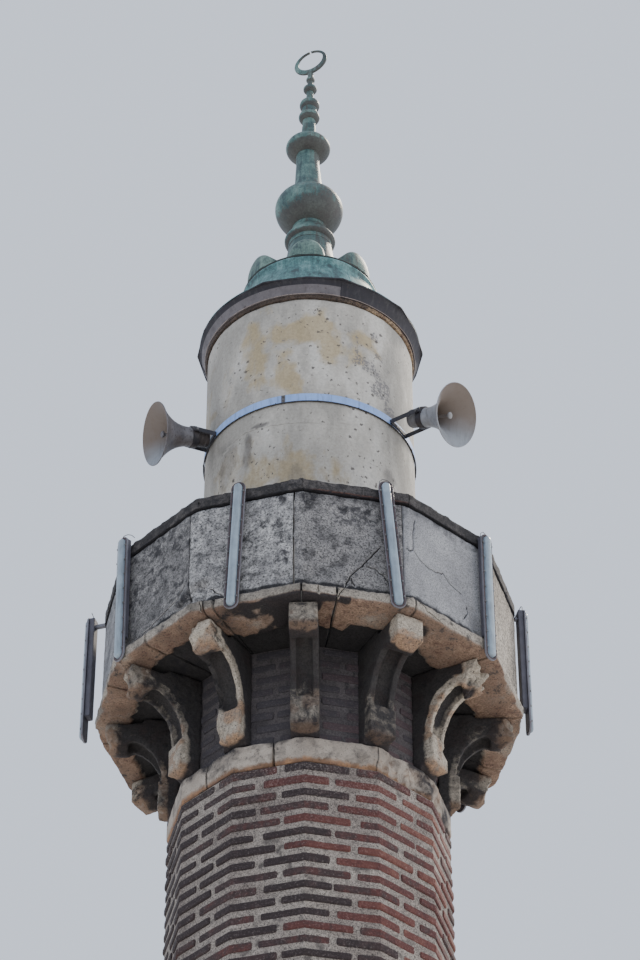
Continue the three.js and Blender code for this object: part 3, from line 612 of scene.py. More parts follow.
def mark(mesh, name, amount):
    """Marks each point of a mesh with how much dirt, stain and painted shade it takes there, for the
    finish to read.
    """
    layer = mesh.attributes.new(name, "FLOAT", "POINT")
    layer.data.foreach_set("value", [amount(v.co) for v in mesh.vertices])


def azimuth_of(point):
    """Degrees round the tower, from the view side towards +X."""
    return math.degrees(math.atan2(point.x, -point.y))


def cloud(point, scale, seed=0):
    """Soft noise from 0 to 1 at a point."""
    return 0.5 + 0.5 * noise.fractal(Vector(point) * scale + Vector((seed, seed, seed)), 1, 2, 3)


def between(value, low, high):
    """How far a value is from low to high, kept from 0 to 1."""
    return min(1, max(0, (value - low) / (high - low)))


def sides_apart(place, other):
    """How far apart two places round the tower are, counted in sides."""
    return abs((place - other + SIDES / 2) % SIDES - SIDES / 2)


def joint_dirt(point, joints, turn):
    """How dirty a point is for lying near one of the joints, given as places in sides."""
    place = (azimuth_of(point) - turn) / SIDE_ANGLE
    return 0.6 * between(min(sides_apart(place, joint) for joint in joints), 0.022, 0)


def knock_off(mesh, middle, size, way, least, grain, seed=0):
    """Pushes the points round a place along a way, most at the place itself, and unevenly."""
    for vertex in mesh.vertices:
        share = 1 - ((vertex.co - middle).length / size) ** 2
        if share > 0:
            vertex.co += way * share * (least + 1.2 * cloud(vertex.co, grain, seed))


def wall_point(plan, place, reach, height):
    """A point on a many-sided wall, and the level direction from it to the tower's middle."""
    point = Vector((*plan(place, reach, height), height))
    return point, -Vector((point.x, point.y, 0)).normalized()


# The upper ring's broken right half: place in sides, height, size and depth
RING_LOSSES = [
    (0.62, 16.02, 0.08, 0.02), (0.85, 16.04, 0.11, 0.035), (1.08, 16.03, 0.1, 0.04),
    (1.3, 16.09, 0.13, 0.045), (1.52, 16.03, 0.1, 0.04), (1.75, 16.06, 0.12, 0.045),
    (1.3, 16.22, 0.07, 0.02), (1.95, 16.2, 0.09, 0.03), (2.2, 16.04, 0.12, 0.035),
    (2.6, 16.03, 0.09, 0.03), (-0.9, 16.02, 0.06, 0.015), (-1.5, 16.22, 0.07, 0.02),
    (4.6, 16.05, 0.1, 0.03), (7.2, 16.2, 0.1, 0.03),
]
shaft_plan = polygon_plan(SIDES, 0)
ring_wear = {"Edge wear": 1.2, "Softening": 4, "Depth": 0.011, "Grain": 0.08, "Chip": 0.1}
for ring, joints, low, high, node in (
        ("lower_ring_stones", LOWER_JOINTS, SLOPE_TOP, LOWER_RING_TOP, "lower_ring"),
        ("upper_ring_stones", UPPER_JOINTS, SHAFT_TOP, UPPER_RING_TOP, "upper_ring")):
    ends = joints[1:] + [joints[0] + SIDES]
    spans = [(a - 0.012, b + 0.012) for a, b in zip(joints, ends)]
    loop = section(0.64, RING_RADIUS + 0.004, low, high, 0.016)
    loop = [(reach - BED_SETBACK * between(height, low + BED, low + BED - 0.01), height)
            for reach, height in loop]
    stones = worn_stones(shaft_plan, spans, loop, 0.035, ring_wear, ring_limestone)
    for place, height, size, loss in RING_LOSSES:
        middle, inward = wall_point(shaft_plan, place, RING_RADIUS, height)
        knock_off(stones, middle, size, inward * loss, 0.2, 26)
    mark(stones, "stain", lambda p: max(
        0.9 * between(p.z, low + 0.05 + 0.06 * cloud(p, 3), low + 0.01),
        0.55 * between(azimuth_of(p), 5, 40) * cloud(p, 3, 2)))
    mark(stones, "soot_and_shade", lambda p: max(
        0.8 * between(p.z, low + 0.03, low) * between(cloud(p, 2), 0.4, 0.6),
        0.8 * between(azimuth_of(p), 5, 50) * between(160 - azimuth_of(p), 0, 60) * cloud(p, 4, 5),
        0.8 * between(p.z, high - 0.13, high) * between(cloud(p, 3, 9), 0.3, 0.6),
        0.4 * between(cloud(p, 5, 4), 0.42, 0.58), joint_dirt(p, joints, 0)))
    stand(ring, stones, "ring_stone", node)

# The brick shaft
# Twelve flat faces of long, thin fired bricks in thick lime mortar. A brick is as long as a face
# and bends round a corner, so that the head joints stand on the faces in two zigzag rows.
SHAFT_RADIUS = 1.1
BRICK_PITCH = 0.117
BRICK_HEIGHT = 0.064
BRICK_PROUD = 0.011
TOP_COURSE = SHAFT_TOP - 0.037

brick = unit_block(
    [(0, 0.4, 0.66), (0.012, 0.9, 0.93), (0.07, 1, 1), (0.18, 1, 1), (0.29, 1, 1), (0.4, 1, 1),
     (0.5, 1, 1), (0.6, 1, 1), (0.71, 1, 1), (0.82, 1, 1), (0.93, 1, 1), (0.988, 0.9, 0.93),
     (1, 0.4, 0.66)],
    [(-1, -0.5), (0.45, -0.49), (1, -0.36), (1.08, 0), (1, 0.36), (0.45, 0.49), (-1, 0.5)])


def brick_finish(name, codes, grime_and_shade):
    """Fired brick: each brick has its own tone, clouded by fire skin and lime bloom, with painted shade
    towards the left; the grime amount blackens it, as smoke and as painted shade.
    """
    material, add = new_finish(name)
    place = add("TexCoord").outputs["Object"]
    own = add("Attribute", attribute_name="tone").outputs["Fac"]
    split = add("SeparateXYZ", {0: place})
    # Painted light and shade, partly grime: darker towards the left (-X), away from the light, and a
    # little lighter towards the right.
    side_shade_and_grime = add("MapRange", {
        "Value": split.outputs["X"], "From Min": -1.1, "From Max": 1.0, "To Min": -0.46, "To Max": 0.12})
    skin = add("TexNoise", {"Vector": place, "Scale": 9, "Detail": 6, "Roughness": 0.7})
    fine = add("TexNoise", {"Vector": place, "Scale": 70, "Detail": 5, "Roughness": 0.75})
    tone = add("Math", {0: own, 1: 0.55, 2: side_shade_and_grime}, operation="MULTIPLY_ADD")
    clouded = add("Math", {0: skin, 1: 0.9, 2: tone}, operation="MULTIPLY_ADD")
    eased = add("Math", {0: clouded, 1: 0.2}, operation="SUBTRACT")
    fired = add("ValToRGB", {"Fac": eased}, stops=[
        (0.22, codes[0]), (0.78, codes[3]), (0.4, codes[1]), (0.55, codes[2]), (0.95, codes[4])])
    grainy = add("ValToRGB", {"Fac": fine}, stops=[(0.32, "9a9a9a"), (0.6, "ffffff")])
    body = add("MixRGB", {"Fac": 0.8, "Color1": fired, "Color2": grainy}, blend_type="MULTIPLY")
    under_ring = add("MapRange", {
        "Value": split.outputs["Z"], "From Min": SHAFT_TOP - 0.6, "From Max": SHAFT_TOP - 0.05,
        "To Max": 0.1})
    limed = add("Math", {0: skin, 1: under_ring}, operation="MULTIPLY")
    smeared = add("Math", {0: fine, 1: limed}, operation="ADD")
    bloom_where = add("MapRange", {"Value": smeared, "From Min": 0.56, "From Max": 0.74, "To Max": 0.6})
    bloomed = add("MixRGB", {"Fac": bloom_where, "Color1": body, "Color2": paint("958d88")})
    # Smoke-black, and painted shade where the grime amount is high, as under the slab.
    sooty_and_shaded = add("MixRGB", {"Fac": grime_and_shade, "Color1": bloomed, "Color2": paint("403e43")})
    end_finish(add, sooty_and_shaded, 0.9, fine, 0.6, 0.004)
    return material


# Hand-struck fired brick: from near black to a deep dusty red, dull and grainy
BRICK_TONES = ("34292a", "463433", "5b3431", "6b3f38", "7d5145")
old_brick = brick_finish("hand-struck fired brick", BRICK_TONES, 0.0)
brick_laying = {"Sides": SIDES, "Turn": 0.0, "Blocks a side": 1, "Pitch": BRICK_PITCH, "Joint share": 0.05,
                "Height": BRICK_HEIGHT, "Unevenness": 0.0075}
shaft_courses = 85
upper_courses = 43
for name, first, count, seed in (("bricks_upper", 0, upper_courses, 11),
                                 ("bricks_lower", upper_courses, shaft_courses - upper_courses, 29)):
    joints = {"Even joint": 0.665, "Odd joint": 0.375} if first % 2 == 0 else {
        "Even joint": 0.375, "Odd joint": 0.665}
    mesh = grow(brick, [(courses, {
        **brick_laying, **joints, "Radius": SHAFT_RADIUS, "Top": TOP_COURSE - first * BRICK_PITCH,
        "Courses": count, "Proud": BRICK_PROUD, "Seed": seed, "Finish": old_brick})])
    stand(name, mesh, "brickwork")
dress("shaft_lower", lime_mortar)
dress("shaft_upper", lime_mortar)

# The corbel drum
# The same brickwork, set back above the upper ring, where candle smoke and damp have blackened it;
# its colour is painted darker still for the slab's shade. Only a few bricks still show their red.
CORBEL_RADIUS = 1.03
# Sooted brick and sooted mortar, painted darker for the slab's shade: nearly black, with a trace of the
# colour under it
shaded_sooted_brick = brick_finish("sooted fired brick, painted darker for shade", BRICK_TONES, 0.7)
shaded_sooted_mortar = stone_finish("sooted lime mortar, painted darker for shade", "655f5f", "474244", "2b292d", 0.08, grit=0.011)
corbel_bricks = grow(brick, [(courses, {
    **brick_laying, "Radius": CORBEL_RADIUS, "Top": UPPER_RING_TOP + 7.5 * BRICK_PITCH, "Courses": 8,
    "Even joint": 0.2, "Odd joint": 0.55, "Proud": 0.008, "Seed": 41, "Finish": shaded_sooted_brick})])
stand("corbel_bricks", corbel_bricks, "brickwork")
dress("corbel_drum", shaded_sooted_mortar)

# The brackets
# Twelve carved limestone brackets, one at each corner, built into the drum: a
# foot block and a head block with blunt pyramids under them, and a quarter
# arc with two ribs between. Frost has rounded some nearly to balls.
HEAD_BOTTOM = 16.92
BRACKET_VOXEL = 0.012
BRACKET_WEAR = {
    1: (1.0, 4, 0.01), 2: (0.5, 2, 0.006), 3: (1.0, 5, 0.012), 4: (1.5, 8, 0.022), 5: (1.2, 6, 0.014),
    6: (0.9, 4, 0.01), 7: (1.0, 5, 0.012), 8: (1.2, 6, 0.016), 9: (0.9, 4, 0.01), 10: (1.6, 9, 0.024),
    11: (1.5, 10, 0.024), 12: (1.7, 12, 0.018),
}
# The quarter arc's end, foot, span and rise: a palm's breadth beyond it, the sides are painted black for
# soot and shade
ARC_END, ARC_FOOT, ARC_SPAN, ARC_RISE = 1.462, 16.53, 0.292, 0.42
# The heights and the reaches between which the foot's soot and painted shade
# gives way to the arc's, and the arc's to the head's
FOOT_TO_ARC = (16.66, 16.8)
ARC_TO_HEAD = (1.52, 1.6)
# Half the groove's width between the ribs, from its clean edge to its middle, painted black for soot and
# shade
GROOVE = (0.085, 0.045)
# How much soot and painted shade lies on each bracket's head, its arc, and its foot
BRACKET_SOOT_AND_SHADE = {
    1: (0.5, 0.95, 0.56), 2: (-0.3, 0.9, 0.6), 3: (0.0, 0.1, 0.1), 4: (0.45, 0.7, 0.45),
    5: (0.4, 0.7, 0.3), 6: (0.3, 0.6, 0.3), 7: (0.4, 0.8, 0.4), 8: (0.3, 0.7, 0.5), 9: (0.4, 0.8, 0.4),
    10: (0.4, 0.8, 0.45), 11: (0.42, 0.6, 0.3), 12: (0.12, 0.3, 0.0),
}
# Knocked-off places: bracket, reach, place across it, height, size, and how far the stone has gone
BRACKET_LOSSES = [
    (12, 1.66, -0.13, 16.9, 0.16, 0.09), (12, 1.66, 0.13, 16.9, 0.16, 0.09),
    (12, 1.66, -0.12, 17.12, 0.12, 0.07), (12, 1.36, -0.09, 16.8, 0.13, 0.14),
    (12, 1.27, -0.09, 16.68, 0.12, 0.13), (12, 1.42, -0.08, 16.88, 0.1, 0.1),
    (12, 1.22, -0.12, 16.3, 0.12, 0.06), (11, 1.66, 0.12, 16.92, 0.14, 0.08),
    (11, 1.66, -0.1, 17.0, 0.14, 0.07), (11, 1.3, -0.09, 16.74, 0.12, 0.07),
    (10, 1.66, -0.1, 17.05, 0.16, 0.1), (10, 1.66, 0.1, 16.9, 0.14, 0.07),
    (4, 1.66, 0.1, 16.95, 0.16, 0.1), (4, 1.66, -0.1, 17.08, 0.12, 0.06),
    (4, 1.22, 0.1, 16.36, 0.14, 0.08), (3, 1.22, 0.11, 16.5, 0.09, 0.04),
    (3, 1.68, 0.05, 16.94, 0.27, 0.16), (3, 1.6, -0.11, 16.92, 0.14, 0.07),
    (1, 1.2, 0.1, 16.56, 0.06, 0.03), (8, 1.66, 0.1, 16.92, 0.14, 0.07),
    (6, 1.21, -0.11, 16.4, 0.1, 0.05), (5, 1.65, -0.11, 16.95, 0.12, 0.06),
]


def merged_copy(node):
    """A copy of a CAD node's mesh with its doubled points merged."""
    build = bmesh.new()
    build.from_mesh(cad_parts[node].data)
    bmesh.ops.remove_doubles(build, verts=build.verts, dist=1e-5)
    return mesh_of(build)


# Carved limestone out of the rain: cream and grey on its faces, tan below, black inside with smoke and
# painted shade
carved_limestone = stone_finish(
    "frost-worn carved limestone", "c6bbaa", "968c7f", "403d3b", 0.05, stain="ab8c71",
    pitting=0.8, speckle=0.65)
for number, (edge, softening, depth) in BRACKET_WEAR.items():
    node = f"bracket_{number:02d}"
    turn = math.radians(SIDE_ANGLE * (number - 1))
    outward = Vector((math.sin(turn), -math.cos(turn), 0))
    across = Vector((math.cos(turn), math.sin(turn), 0))
    bracket = grow(merged_copy(node), [(stone_wear, {
        "Edge wear": edge, "Softening": softening, "Depth": depth, "Grain": 0.07, "Chip": 0.09,
        "Finish": carved_limestone})], voxel=BRACKET_VOXEL)
    for _, reach, side, height, size, loss in (row for row in BRACKET_LOSSES if row[0] == number):
        middle = outward * reach + across * side + Vector((0, 0, height))
        knock_off(bracket, middle, size, outward * -loss, 0.4, 14, number)

    def bracket_soot_and_shade(point):
        """Soot and painted shade lie thickest in the groove between the ribs, in the hollow behind the arc
        and against the drum.
        """
        reach, side = point.dot(outward), point.dot(across)
        head, arc, foot = BRACKET_SOOT_AND_SHADE[number]
        level = foot + (arc - foot) * between(point.z + 0.1 * cloud(point, 6), *FOOT_TO_ARC)
        level += (head - level) * between(reach + 0.06 * cloud(point, 5), *ARC_TO_HEAD)
        if number == 12 and side < 0.03:
            level += 0.8 * between(point.z, 16.56, 16.62) * between(reach, 1.52, 1.45)
        # Painted shade, with soot: the groove, the hollow behind the arc and the corner against the drum
        # are darkened
        over_arc = math.hypot((ARC_END - min(reach, ARC_END)) / ARC_SPAN, (point.z - ARC_FOOT) / ARC_RISE)
        inside = between(over_arc + 0.12 * cloud(point, 9), 1.2, 1.3) * between(point.z, 16.5, 16.6)
        groove = between(abs(side), *GROOVE) * between(point.z, 16.66, 16.74) * between(reach, 1.56, 1.44)
        shade_by_drum = between(reach, 1.16, 1.08)
        return max(level, 0.95 * groove, 0.9 * shade_by_drum, inside * between(reach, 1.5, 1.44),
                   (0.15 + 0.8 * level) * between(cloud(point, 3), 0.5, 0.7))

    mark(bracket, "soot_and_shade", bracket_soot_and_shade)
    mark(bracket, "stain", lambda p: max(
        0.75 * between(p.z, 16.4, 16.27), 0.7 * between(abs(p.z - HEAD_BOTTOM + 0.02), 0.1, 0.02)
        * between(p.dot(outward), 1.36, 1.42), 0.55 * between(cloud(p, 5), 0.48, 0.65)))
    stand(f"{node}_stone", bracket, "bracket_stone", node)

# The balcony slab
# Limestone slabs laid side by side on the brackets. Their undersides are bare
# tan stone, broken off in a ragged line towards the drum; the filling above is dark,
# partly soot and partly painted shade. Their edges are pale, chipped, and jointed every metre.
BALCONY_TURN = -0.75
BALCONY_RADIUS = 1.735
SOFFIT = 17.13
SLAB_TOP = 17.25
RECESS_TOP = 17.17
RECESS_RADIUS = 1.4
WELL_RADIUS = 0.64
# The ragged line: the azimuth and reach of each point of it
BROKEN_LINE = [
    (-180, 1.42), (-150, 1.4), (-117, 1.57), (-106, 1.55), (-90, 1.45), (-65, 1.45), (-49, 1.5),
    (-40, 1.5), (-31, 1.4), (-22, 1.31), (-12, 1.3), (-1, 1.41), (7, 1.32), (13, 1.32), (18, 1.42),
    (25, 1.38), (37, 1.4), (51, 1.27), (76, 1.32), (88, 1.37), (107, 1.52), (121, 1.57), (140, 1.45),
    (160, 1.38), (180, 1.42),
]
SLAB_JOINTS = [
    0.011, 0.325, 1.03, 1.97, 2.95, 3.8, 4.9, 5.8, 6.9, 7.9, 8.8, 9.7, 10.42, 11.126, 11.22, 12.011,
]
# The middle of a round blotch of soot on the underside, in X and Y
SOOT_BLOTCH = Vector((0.86, -1.23))
twelve_sides = polygon_plan(SIDES, BALCONY_TURN)


def broken_plan(place, reach, height):
    """The slab's plan, with its underside cut back to the ragged line."""
    point = twelve_sides(place, reach, height)
    azimuth = azimuth_of(point)
    for (low, near), (high, far) in zip(BROKEN_LINE, BROKEN_LINE[1:]):
        if low <= azimuth <= high:
            edge = near + (far - near) * (azimuth - low) / (high - low)
            break
    edge += 0.05 * noise.noise(Vector((azimuth * 0.35, 0, 0)))
    edge += 0.03 * noise.noise(Vector((azimuth * 1.1, 5, 0)))
    if height >= SLAB_TOP - 0.07 or reach >= BALCONY_RADIUS:
        return point
    if reach >= RECESS_RADIUS:
        cut_to = edge + (BALCONY_RADIUS - edge) * (reach - RECESS_RADIUS) / (
            BALCONY_RADIUS - RECESS_RADIUS)
    else:
        cut_to = WELL_RADIUS + (edge - WELL_RADIUS) * (reach - WELL_RADIUS) / (
            RECESS_RADIUS - WELL_RADIUS)
    return point * cut_to / reach


def line(start, end, step):
    """Points from start up to but not including end, a step apart."""
    count = max(1, round((Vector(end) - Vector(start)).length / step))
    return [tuple(Vector(start).lerp(Vector(end), i / count)) for i in range(count)]


slab_loop = (
    line((BALCONY_RADIUS, SOFFIT), (BALCONY_RADIUS, SLAB_TOP), 0.02)
    + line((BALCONY_RADIUS, SLAB_TOP), (1.55, SLAB_TOP), 0.03)
    + line((1.55, SLAB_TOP), (WELL_RADIUS, SLAB_TOP), 0.15)
    + line((WELL_RADIUS, SLAB_TOP), (WELL_RADIUS, RECESS_TOP), 0.1)
    + line((WELL_RADIUS, RECESS_TOP), (RECESS_RADIUS - 0.02, RECESS_TOP), 0.09)
    + line((RECESS_RADIUS - 0.02, RECESS_TOP), (RECESS_RADIUS, SOFFIT + 0.008), 0.02)
    + line((RECESS_RADIUS, SOFFIT), (BALCONY_RADIUS, SOFFIT), 0.024))
slab_spans = [(a - 0.004, b + 0.004) for a, b in zip(SLAB_JOINTS, SLAB_JOINTS[1:])]
# Limestone slab: a pale grey edge with algae, and a tan, flaking underside going red-brown
slab_limestone = stone_finish(
    "flaking limestone slab", "b9b0a3", "8e867b", "403d3d", 0.07, stain="9a7f6b",
    pitting=0.7, speckle=0.7)
slab = worn_stones(
    broken_plan, slab_spans, slab_loop, 0.03,
    {"Edge wear": 1.0, "Softening": 3, "Depth": 0.012, "Grain": 0.09, "Chip": 0.09}, slab_limestone)
mark(slab, "stain", lambda p: between(p.z, SOFFIT + 0.05, SOFFIT + 0.012) * (
    0.4 + 0.75 * cloud(p, 3)) * between(Vector(p.xy).length, 1.1, 1.2))
# Soot, with painted shade in the recess above the ragged line and along the top edge; the underside also
# darkens towards the middle and the left (-X), and round a blotch of soot.
mark(slab, "soot_and_shade", lambda p: max(
    between(p.z, SOFFIT + 0.018, SOFFIT + 0.034) * between(Vector(p.xy).length, 1.62, 1.58),
    (0.3 + 0.5 * between(abs(p.x), 0.75, 0.4)) * between(cloud(p, 4, 3), 0.48, 0.6) * between(
        p.z, SOFFIT + 0.05, SOFFIT + 0.015),
    0.75 * between((p.xy - SOOT_BLOTCH).length + 0.1 * cloud(p, 12), 0.19, 0.12),
    between(p.x, 0.6, -0.3) * (0.1 + 0.4 * cloud(p, 6)), 0.7 * between(p.z, SLAB_TOP - 0.03, SLAB_TOP),
    0.4 * between(cloud(p, 7, 2), 0.5, 0.65) * between(p.z, SOFFIT + 0.02, SOFFIT + 0.04),
    joint_dirt(p, SLAB_JOINTS, BALCONY_TURN)))
# Corners that have dropped off the slab's lower edge: place in sides, size and depth
SLAB_LOSSES = [
    (-2.05, 0.09, 0.03), (-2.45, 0.07, 0.028), (-2.75, 0.1, 0.038), (-3.05, 0.09, 0.035),
    (-1.55, 0.06, 0.02), (1.45, 0.06, 0.018), (1.98, 0.07, 0.025), (2.4, 0.09, 0.034), (2.78, 0.07, 0.03),
    (3.05, 0.1, 0.038), (5.4, 0.1, 0.035),
]
for place, size, loss in SLAB_LOSSES:
    middle, inward = wall_point(twelve_sides, place, BALCONY_RADIUS, SOFFIT)
    knock_off(slab, middle, size, (inward + Vector((0, 0, 0.6))) * loss, 0.2, 30)
slab_piece = stand("slab_stones", slab, "slab_stone", "balcony_slab")


def crack_cutter(plan, reach, route, width, depth, seed):
    """A thin wedge along a cracked route of (place, height) on a wall face, sharp at both ends."""
    points = []
    for (place, height), (next_place, next_height) in zip(route, route[1:]):
        points += [(place + (next_place - place) * i / 4, height + (next_height - height) * i / 4)
                   for i in range(4)]
    points.append(route[-1])
    last = len(points) - 1
    rows = []
    for i, (place, height) in enumerate(points):
        if 0 < i < last:
            place += 0.016 * noise.noise((i * 0.9, seed, 0))
            height += 0.016 * noise.noise((seed, i * 0.9, 7))
        along = (plan(place + 0.01, reach, height) - plan(place - 0.01, reach, height)).normalized()
        outward = Vector((along.y, -along.x, 0))
        before, after = points[max(0, i - 1)], points[min(last, i + 1)]
        heading = Vector(((after[0] - before[0]) * 0.9, after[1] - before[1])).normalized()
        middle = Vector((*plan(place, reach, height), height))
        share = (0.7 + 0.6 * cloud(middle, 20, seed)) * (1 if 0 < i < last else 0.25)
        aside = Vector((*(along * -heading.y), heading.x)) * width * share
        rows.append([middle + outward * 0.012 + aside, middle + outward * 0.012 - aside,
                     middle - outward * depth * share])
    build = bmesh.new()
    skin(build, rows)
    mesh = mesh_of(build)
    mark(mesh, "soot_and_shade", lambda p: 1.0)
    return mesh


# Cracks through the slab's edge: their route as (place in sides, height)
SLAB_CRACKS = [
    [(0.41, 17.26), (0.36, 17.2), (0.325, 17.12)], [(1.02, 17.27), (1.16, 17.19), (1.37, 17.15)],
    [(-0.91, 17.26), (-0.88, 17.12)], [(0.16, 17.26), (0.17, 17.15)],
]
for i, route in enumerate(SLAB_CRACKS):
    cut_away(slab_piece, crack_cutter(twelve_sides, BALCONY_RADIUS, route, 0.007, 0.035, i))

# The parapet
# Twelve upright slabs of grey cast render, each turning one corner and butted on the next beside it. The
# weather side is black with lichen, the slabs by the lamps are cracked, and two have lost their feet.
PANEL_RADIUS = 1.682
PANEL_TOP = 18.195
PANEL_THICKNESS = 0.1035
BUTT_OFFSET = -0.06

# Cast lime render, grey with black lichen in every hollow
lichened_render = stone_finish(
    "lichened cast render", "aca9a7", "828080", "302f36", 0.13, grit=0.011, pitting=0.85, speckle=1.0)
# The same render where rain washes it: paler, with fewer spots
washed_render = stone_finish(
    "washed cast render", "d6d4d2", "b0aeae", "313037", 0.05, grit=0.013, pitting=0.8, speckle=1.0)
# Trowelled smooth: bluish grey, nearly clean
trowelled_render = stone_finish(
    "trowelled render", "b0b0b2", "919194", "45454c", 0.02, grit=0.009, pitting=0.6, speckle=0.6)
# On the sunny side the cream aggregate shows, and the render is painted paler for the sunlight on it
sunlit_render = stone_finish(
    "sun-bleached render, painted paler for sunlight", "c0b7ab", "9a9186", "54504d", 0.07, grit=0.015, pitting=0.9, speckle=1.0)
PANEL_FINISHES = [
    lichened_render, trowelled_render, sunlit_render, sunlit_render, washed_render, trowelled_render,
    washed_render, lichened_render, washed_render, trowelled_render, lichened_render, washed_render,
]
PANEL_CRACKS = [
    (0, [(0.735, 17.735), (0.636, 17.609), (0.562, 17.518), (0.452, 17.402), (0.4, 17.26)]),
    (0, [(0.452, 17.402), (0.5, 17.3)]),
    (0, [(0.589, 17.522), (0.7, 17.5), (0.8, 17.4), (0.86, 17.3)]),
    (1, [(1.08, 18.1), (1.05, 17.95), (1.05, 17.77), (1.13, 17.707), (1.229, 17.674), (1.317, 17.676),
         (1.418, 17.704), (1.504, 17.644), (1.66, 17.6)]),
    (1, [(1.05, 17.77), (1.0, 17.74), (0.97, 17.76)]), (1, [(1.66, 17.36), (1.72, 17.45), (1.7, 17.52)]),
    (10, [(10.2, 17.29), (10.42, 17.32), (10.62, 17.37), (10.8, 17.42), (10.9, 17.52)]),
    (11, [(11.04, 17.42), (11.18, 17.36), (11.3, 17.28)]),
]
# Bigger losses at the foot of a slab: place, height, size and depth
PANEL_LOSSES = [
    (-0.98, 17.33, 0.13, 0.05), (-1.16, 17.3, 0.08, 0.04), (-0.9, 17.42, 0.07, 0.03),
    (0.12, 17.36, 0.1, 0.018), (0.25, 17.5, 0.14, 0.012), (1.86, 17.36, 0.12, 0.04),
    (1.8, 17.48, 0.07, 0.02), (0.93, 17.3, 0.08, 0.03), (-0.12, 17.32, 0.1, 0.02),
    (-1.9, 17.3, 0.1, 0.03), (5.2, 17.4, 0.14, 0.03), (7.8, 17.35, 0.12, 0.04),
]
# Where rain carries black lichen down from the coping: place, half width and strength
LICHEN_STREAKS = [
    (-0.93, 0.12, 0.5), (-0.72, 0.12, 0.4), (-0.36, 0.08, 0.4), (0.12, 0.2, 0.6), (0.34, 0.2, 0.5),
    (0.62, 0.12, 0.3), (-1.5, 0.4, 0.3), (-0.55, 0.05, 0.35), (4.1, 0.3, 0.45), (5.3, 0.2, 0.4),
    (6.6, 0.3, 0.45), (8.0, 0.3, 0.5), (9.3, 0.2, 0.5),
]
PANEL_WEAR = {"Edge wear": 0.9, "Softening": 3, "Depth": 0.007, "Grain": 0.045, "Chip": 0.1}
panel_loop = section(
    PANEL_RADIUS - PANEL_THICKNESS, PANEL_RADIUS + 0.003, SLAB_TOP + 0.0005, PANEL_TOP, 0.021,
    back_cell=0.08)


def panel_place(point):
    """A point's place round the parapet, in sides from the front corner."""
    return (azimuth_of(point) - BALCONY_TURN) / SIDE_ANGLE


for index in range(SIDES):
    span = (index + BUTT_OFFSET - 0.005, index + 1 + BUTT_OFFSET + 0.005)
    panel = worn_stones(twelve_sides, [span], panel_loop, 0.024, PANEL_WEAR, PANEL_FINISHES[index])
    for place, height, size, loss in PANEL_LOSSES:
        middle, inward = wall_point(twelve_sides, place, PANEL_RADIUS, height)
        knock_off(panel, middle, size, inward * loss, 0.4, 22)
    # Lichen and painted shadow darken a band under the coping; dirt and painted shadow darken the foot
    # above the slab, with a thin dark line there; the joints at each end are dark, and black lichen runs
    # down in streaks.
    mark(panel, "soot_and_shade", lambda p: max(
        0.5 * between(p.z, PANEL_TOP - 0.16 - 0.1 * cloud(p, 4), PANEL_TOP),
        0.5 * between(p.z, SLAB_TOP + 0.08 + 0.12 * cloud(p, 5), SLAB_TOP + 0.04),
        (0.5 + 0.6 * cloud(p, 9)) * between(p.z, SLAB_TOP + 0.066, SLAB_TOP + 0.048),
        0.4 * between(abs(panel_place(p) - index - 0.44), 0.46, 0.5), *(
            strength * between(sides_apart(panel_place(p), place), width, width * 0.3)
            * between(cloud((p.x, p.y, p.z * 0.7), 9), 0.3, 0.7)
            for place, width, strength in LICHEN_STREAKS)))
    number = f"{index + 1:02d}"
    piece = stand(f"parapet_panel_{number}.001", panel, "parapet_stone", f"parapet_slab_{number}")
    for i, (_, route) in enumerate(row for row in PANEL_CRACKS if row[0] == index):
        cut_away(piece, crack_cutter(twelve_sides, PANEL_RADIUS, route, 0.0085, 0.035, index + i * 3))

# The coping
# A course of rough stones bedded on the parapet, black with lichen and soot,
# with painted shadow along its foot and a rust-red bed under it.
COPING_RADIUS = 1.696
COPING_TOP = 18.32
COPING_WIDTH = 0.17
coping_joints = [0.03, 1.02, 1.98, 2.7, 3.9, 5.1, 6.2, 7.0, 8.1, 9.2, 10.1, 11.05, 12.03]
coping_loop = section(
    COPING_RADIUS - COPING_WIDTH, COPING_RADIUS + 0.006, PANEL_TOP + 0.0005, COPING_TOP + 0.004, 0.018)
# Rough coping stone, weathered almost black, with a few pale scars
black_coping = stone_finish(
    "blackened rough coping", "6a6563", "403d3d", "232226", 0.22, stain="5e3a30",
    grit=0.014, pitting=0.8, speckle=0.9)
coping = worn_stones(
    twelve_sides, [(a - 0.03, b + 0.03) for a, b in zip(coping_joints, coping_joints[1:])],
    coping_loop, 0.03, {"Edge wear": 1.3, "Softening": 4, "Depth": 0.02, "Grain": 0.06, "Chip": 0.08},
    black_coping)
# Painted shadow: the coping's foot, where it sits on the parapet, darkened nearly to black
mark(coping, "soot_and_shade", lambda p: 0.95 * between(p.z, PANEL_TOP + 0.03, PANEL_TOP + 0.01))
mark(coping, "stain", lambda p: between(p.z, PANEL_TOP + 0.045, PANEL_TOP + 0.02) * between(
    0.55 - abs(panel_place(p) - 0.55), 0, 0.2))
stand("coping_stones", coping, "coping_stone", "parapet_coping")

# The tube lamps
# Ten weatherproof strip lamps hung outside the parapet: a folded steel tray, a rim with a rust-stained
# gasket, and a milky tube cover held by clips. Wire hooks over the coping carry some of them.
LAMP_BOTTOM = 17.085
LAMP_LENGTH = 1.25
# The reach of the coping's faces, where the lamps hang
LAMP_SEAT = COPING_RADIUS * math.cos(math.pi / SIDES) + 0.0003
# The tray's half width, depth and length
TRAY = (0.042, 0.046, 1.0)
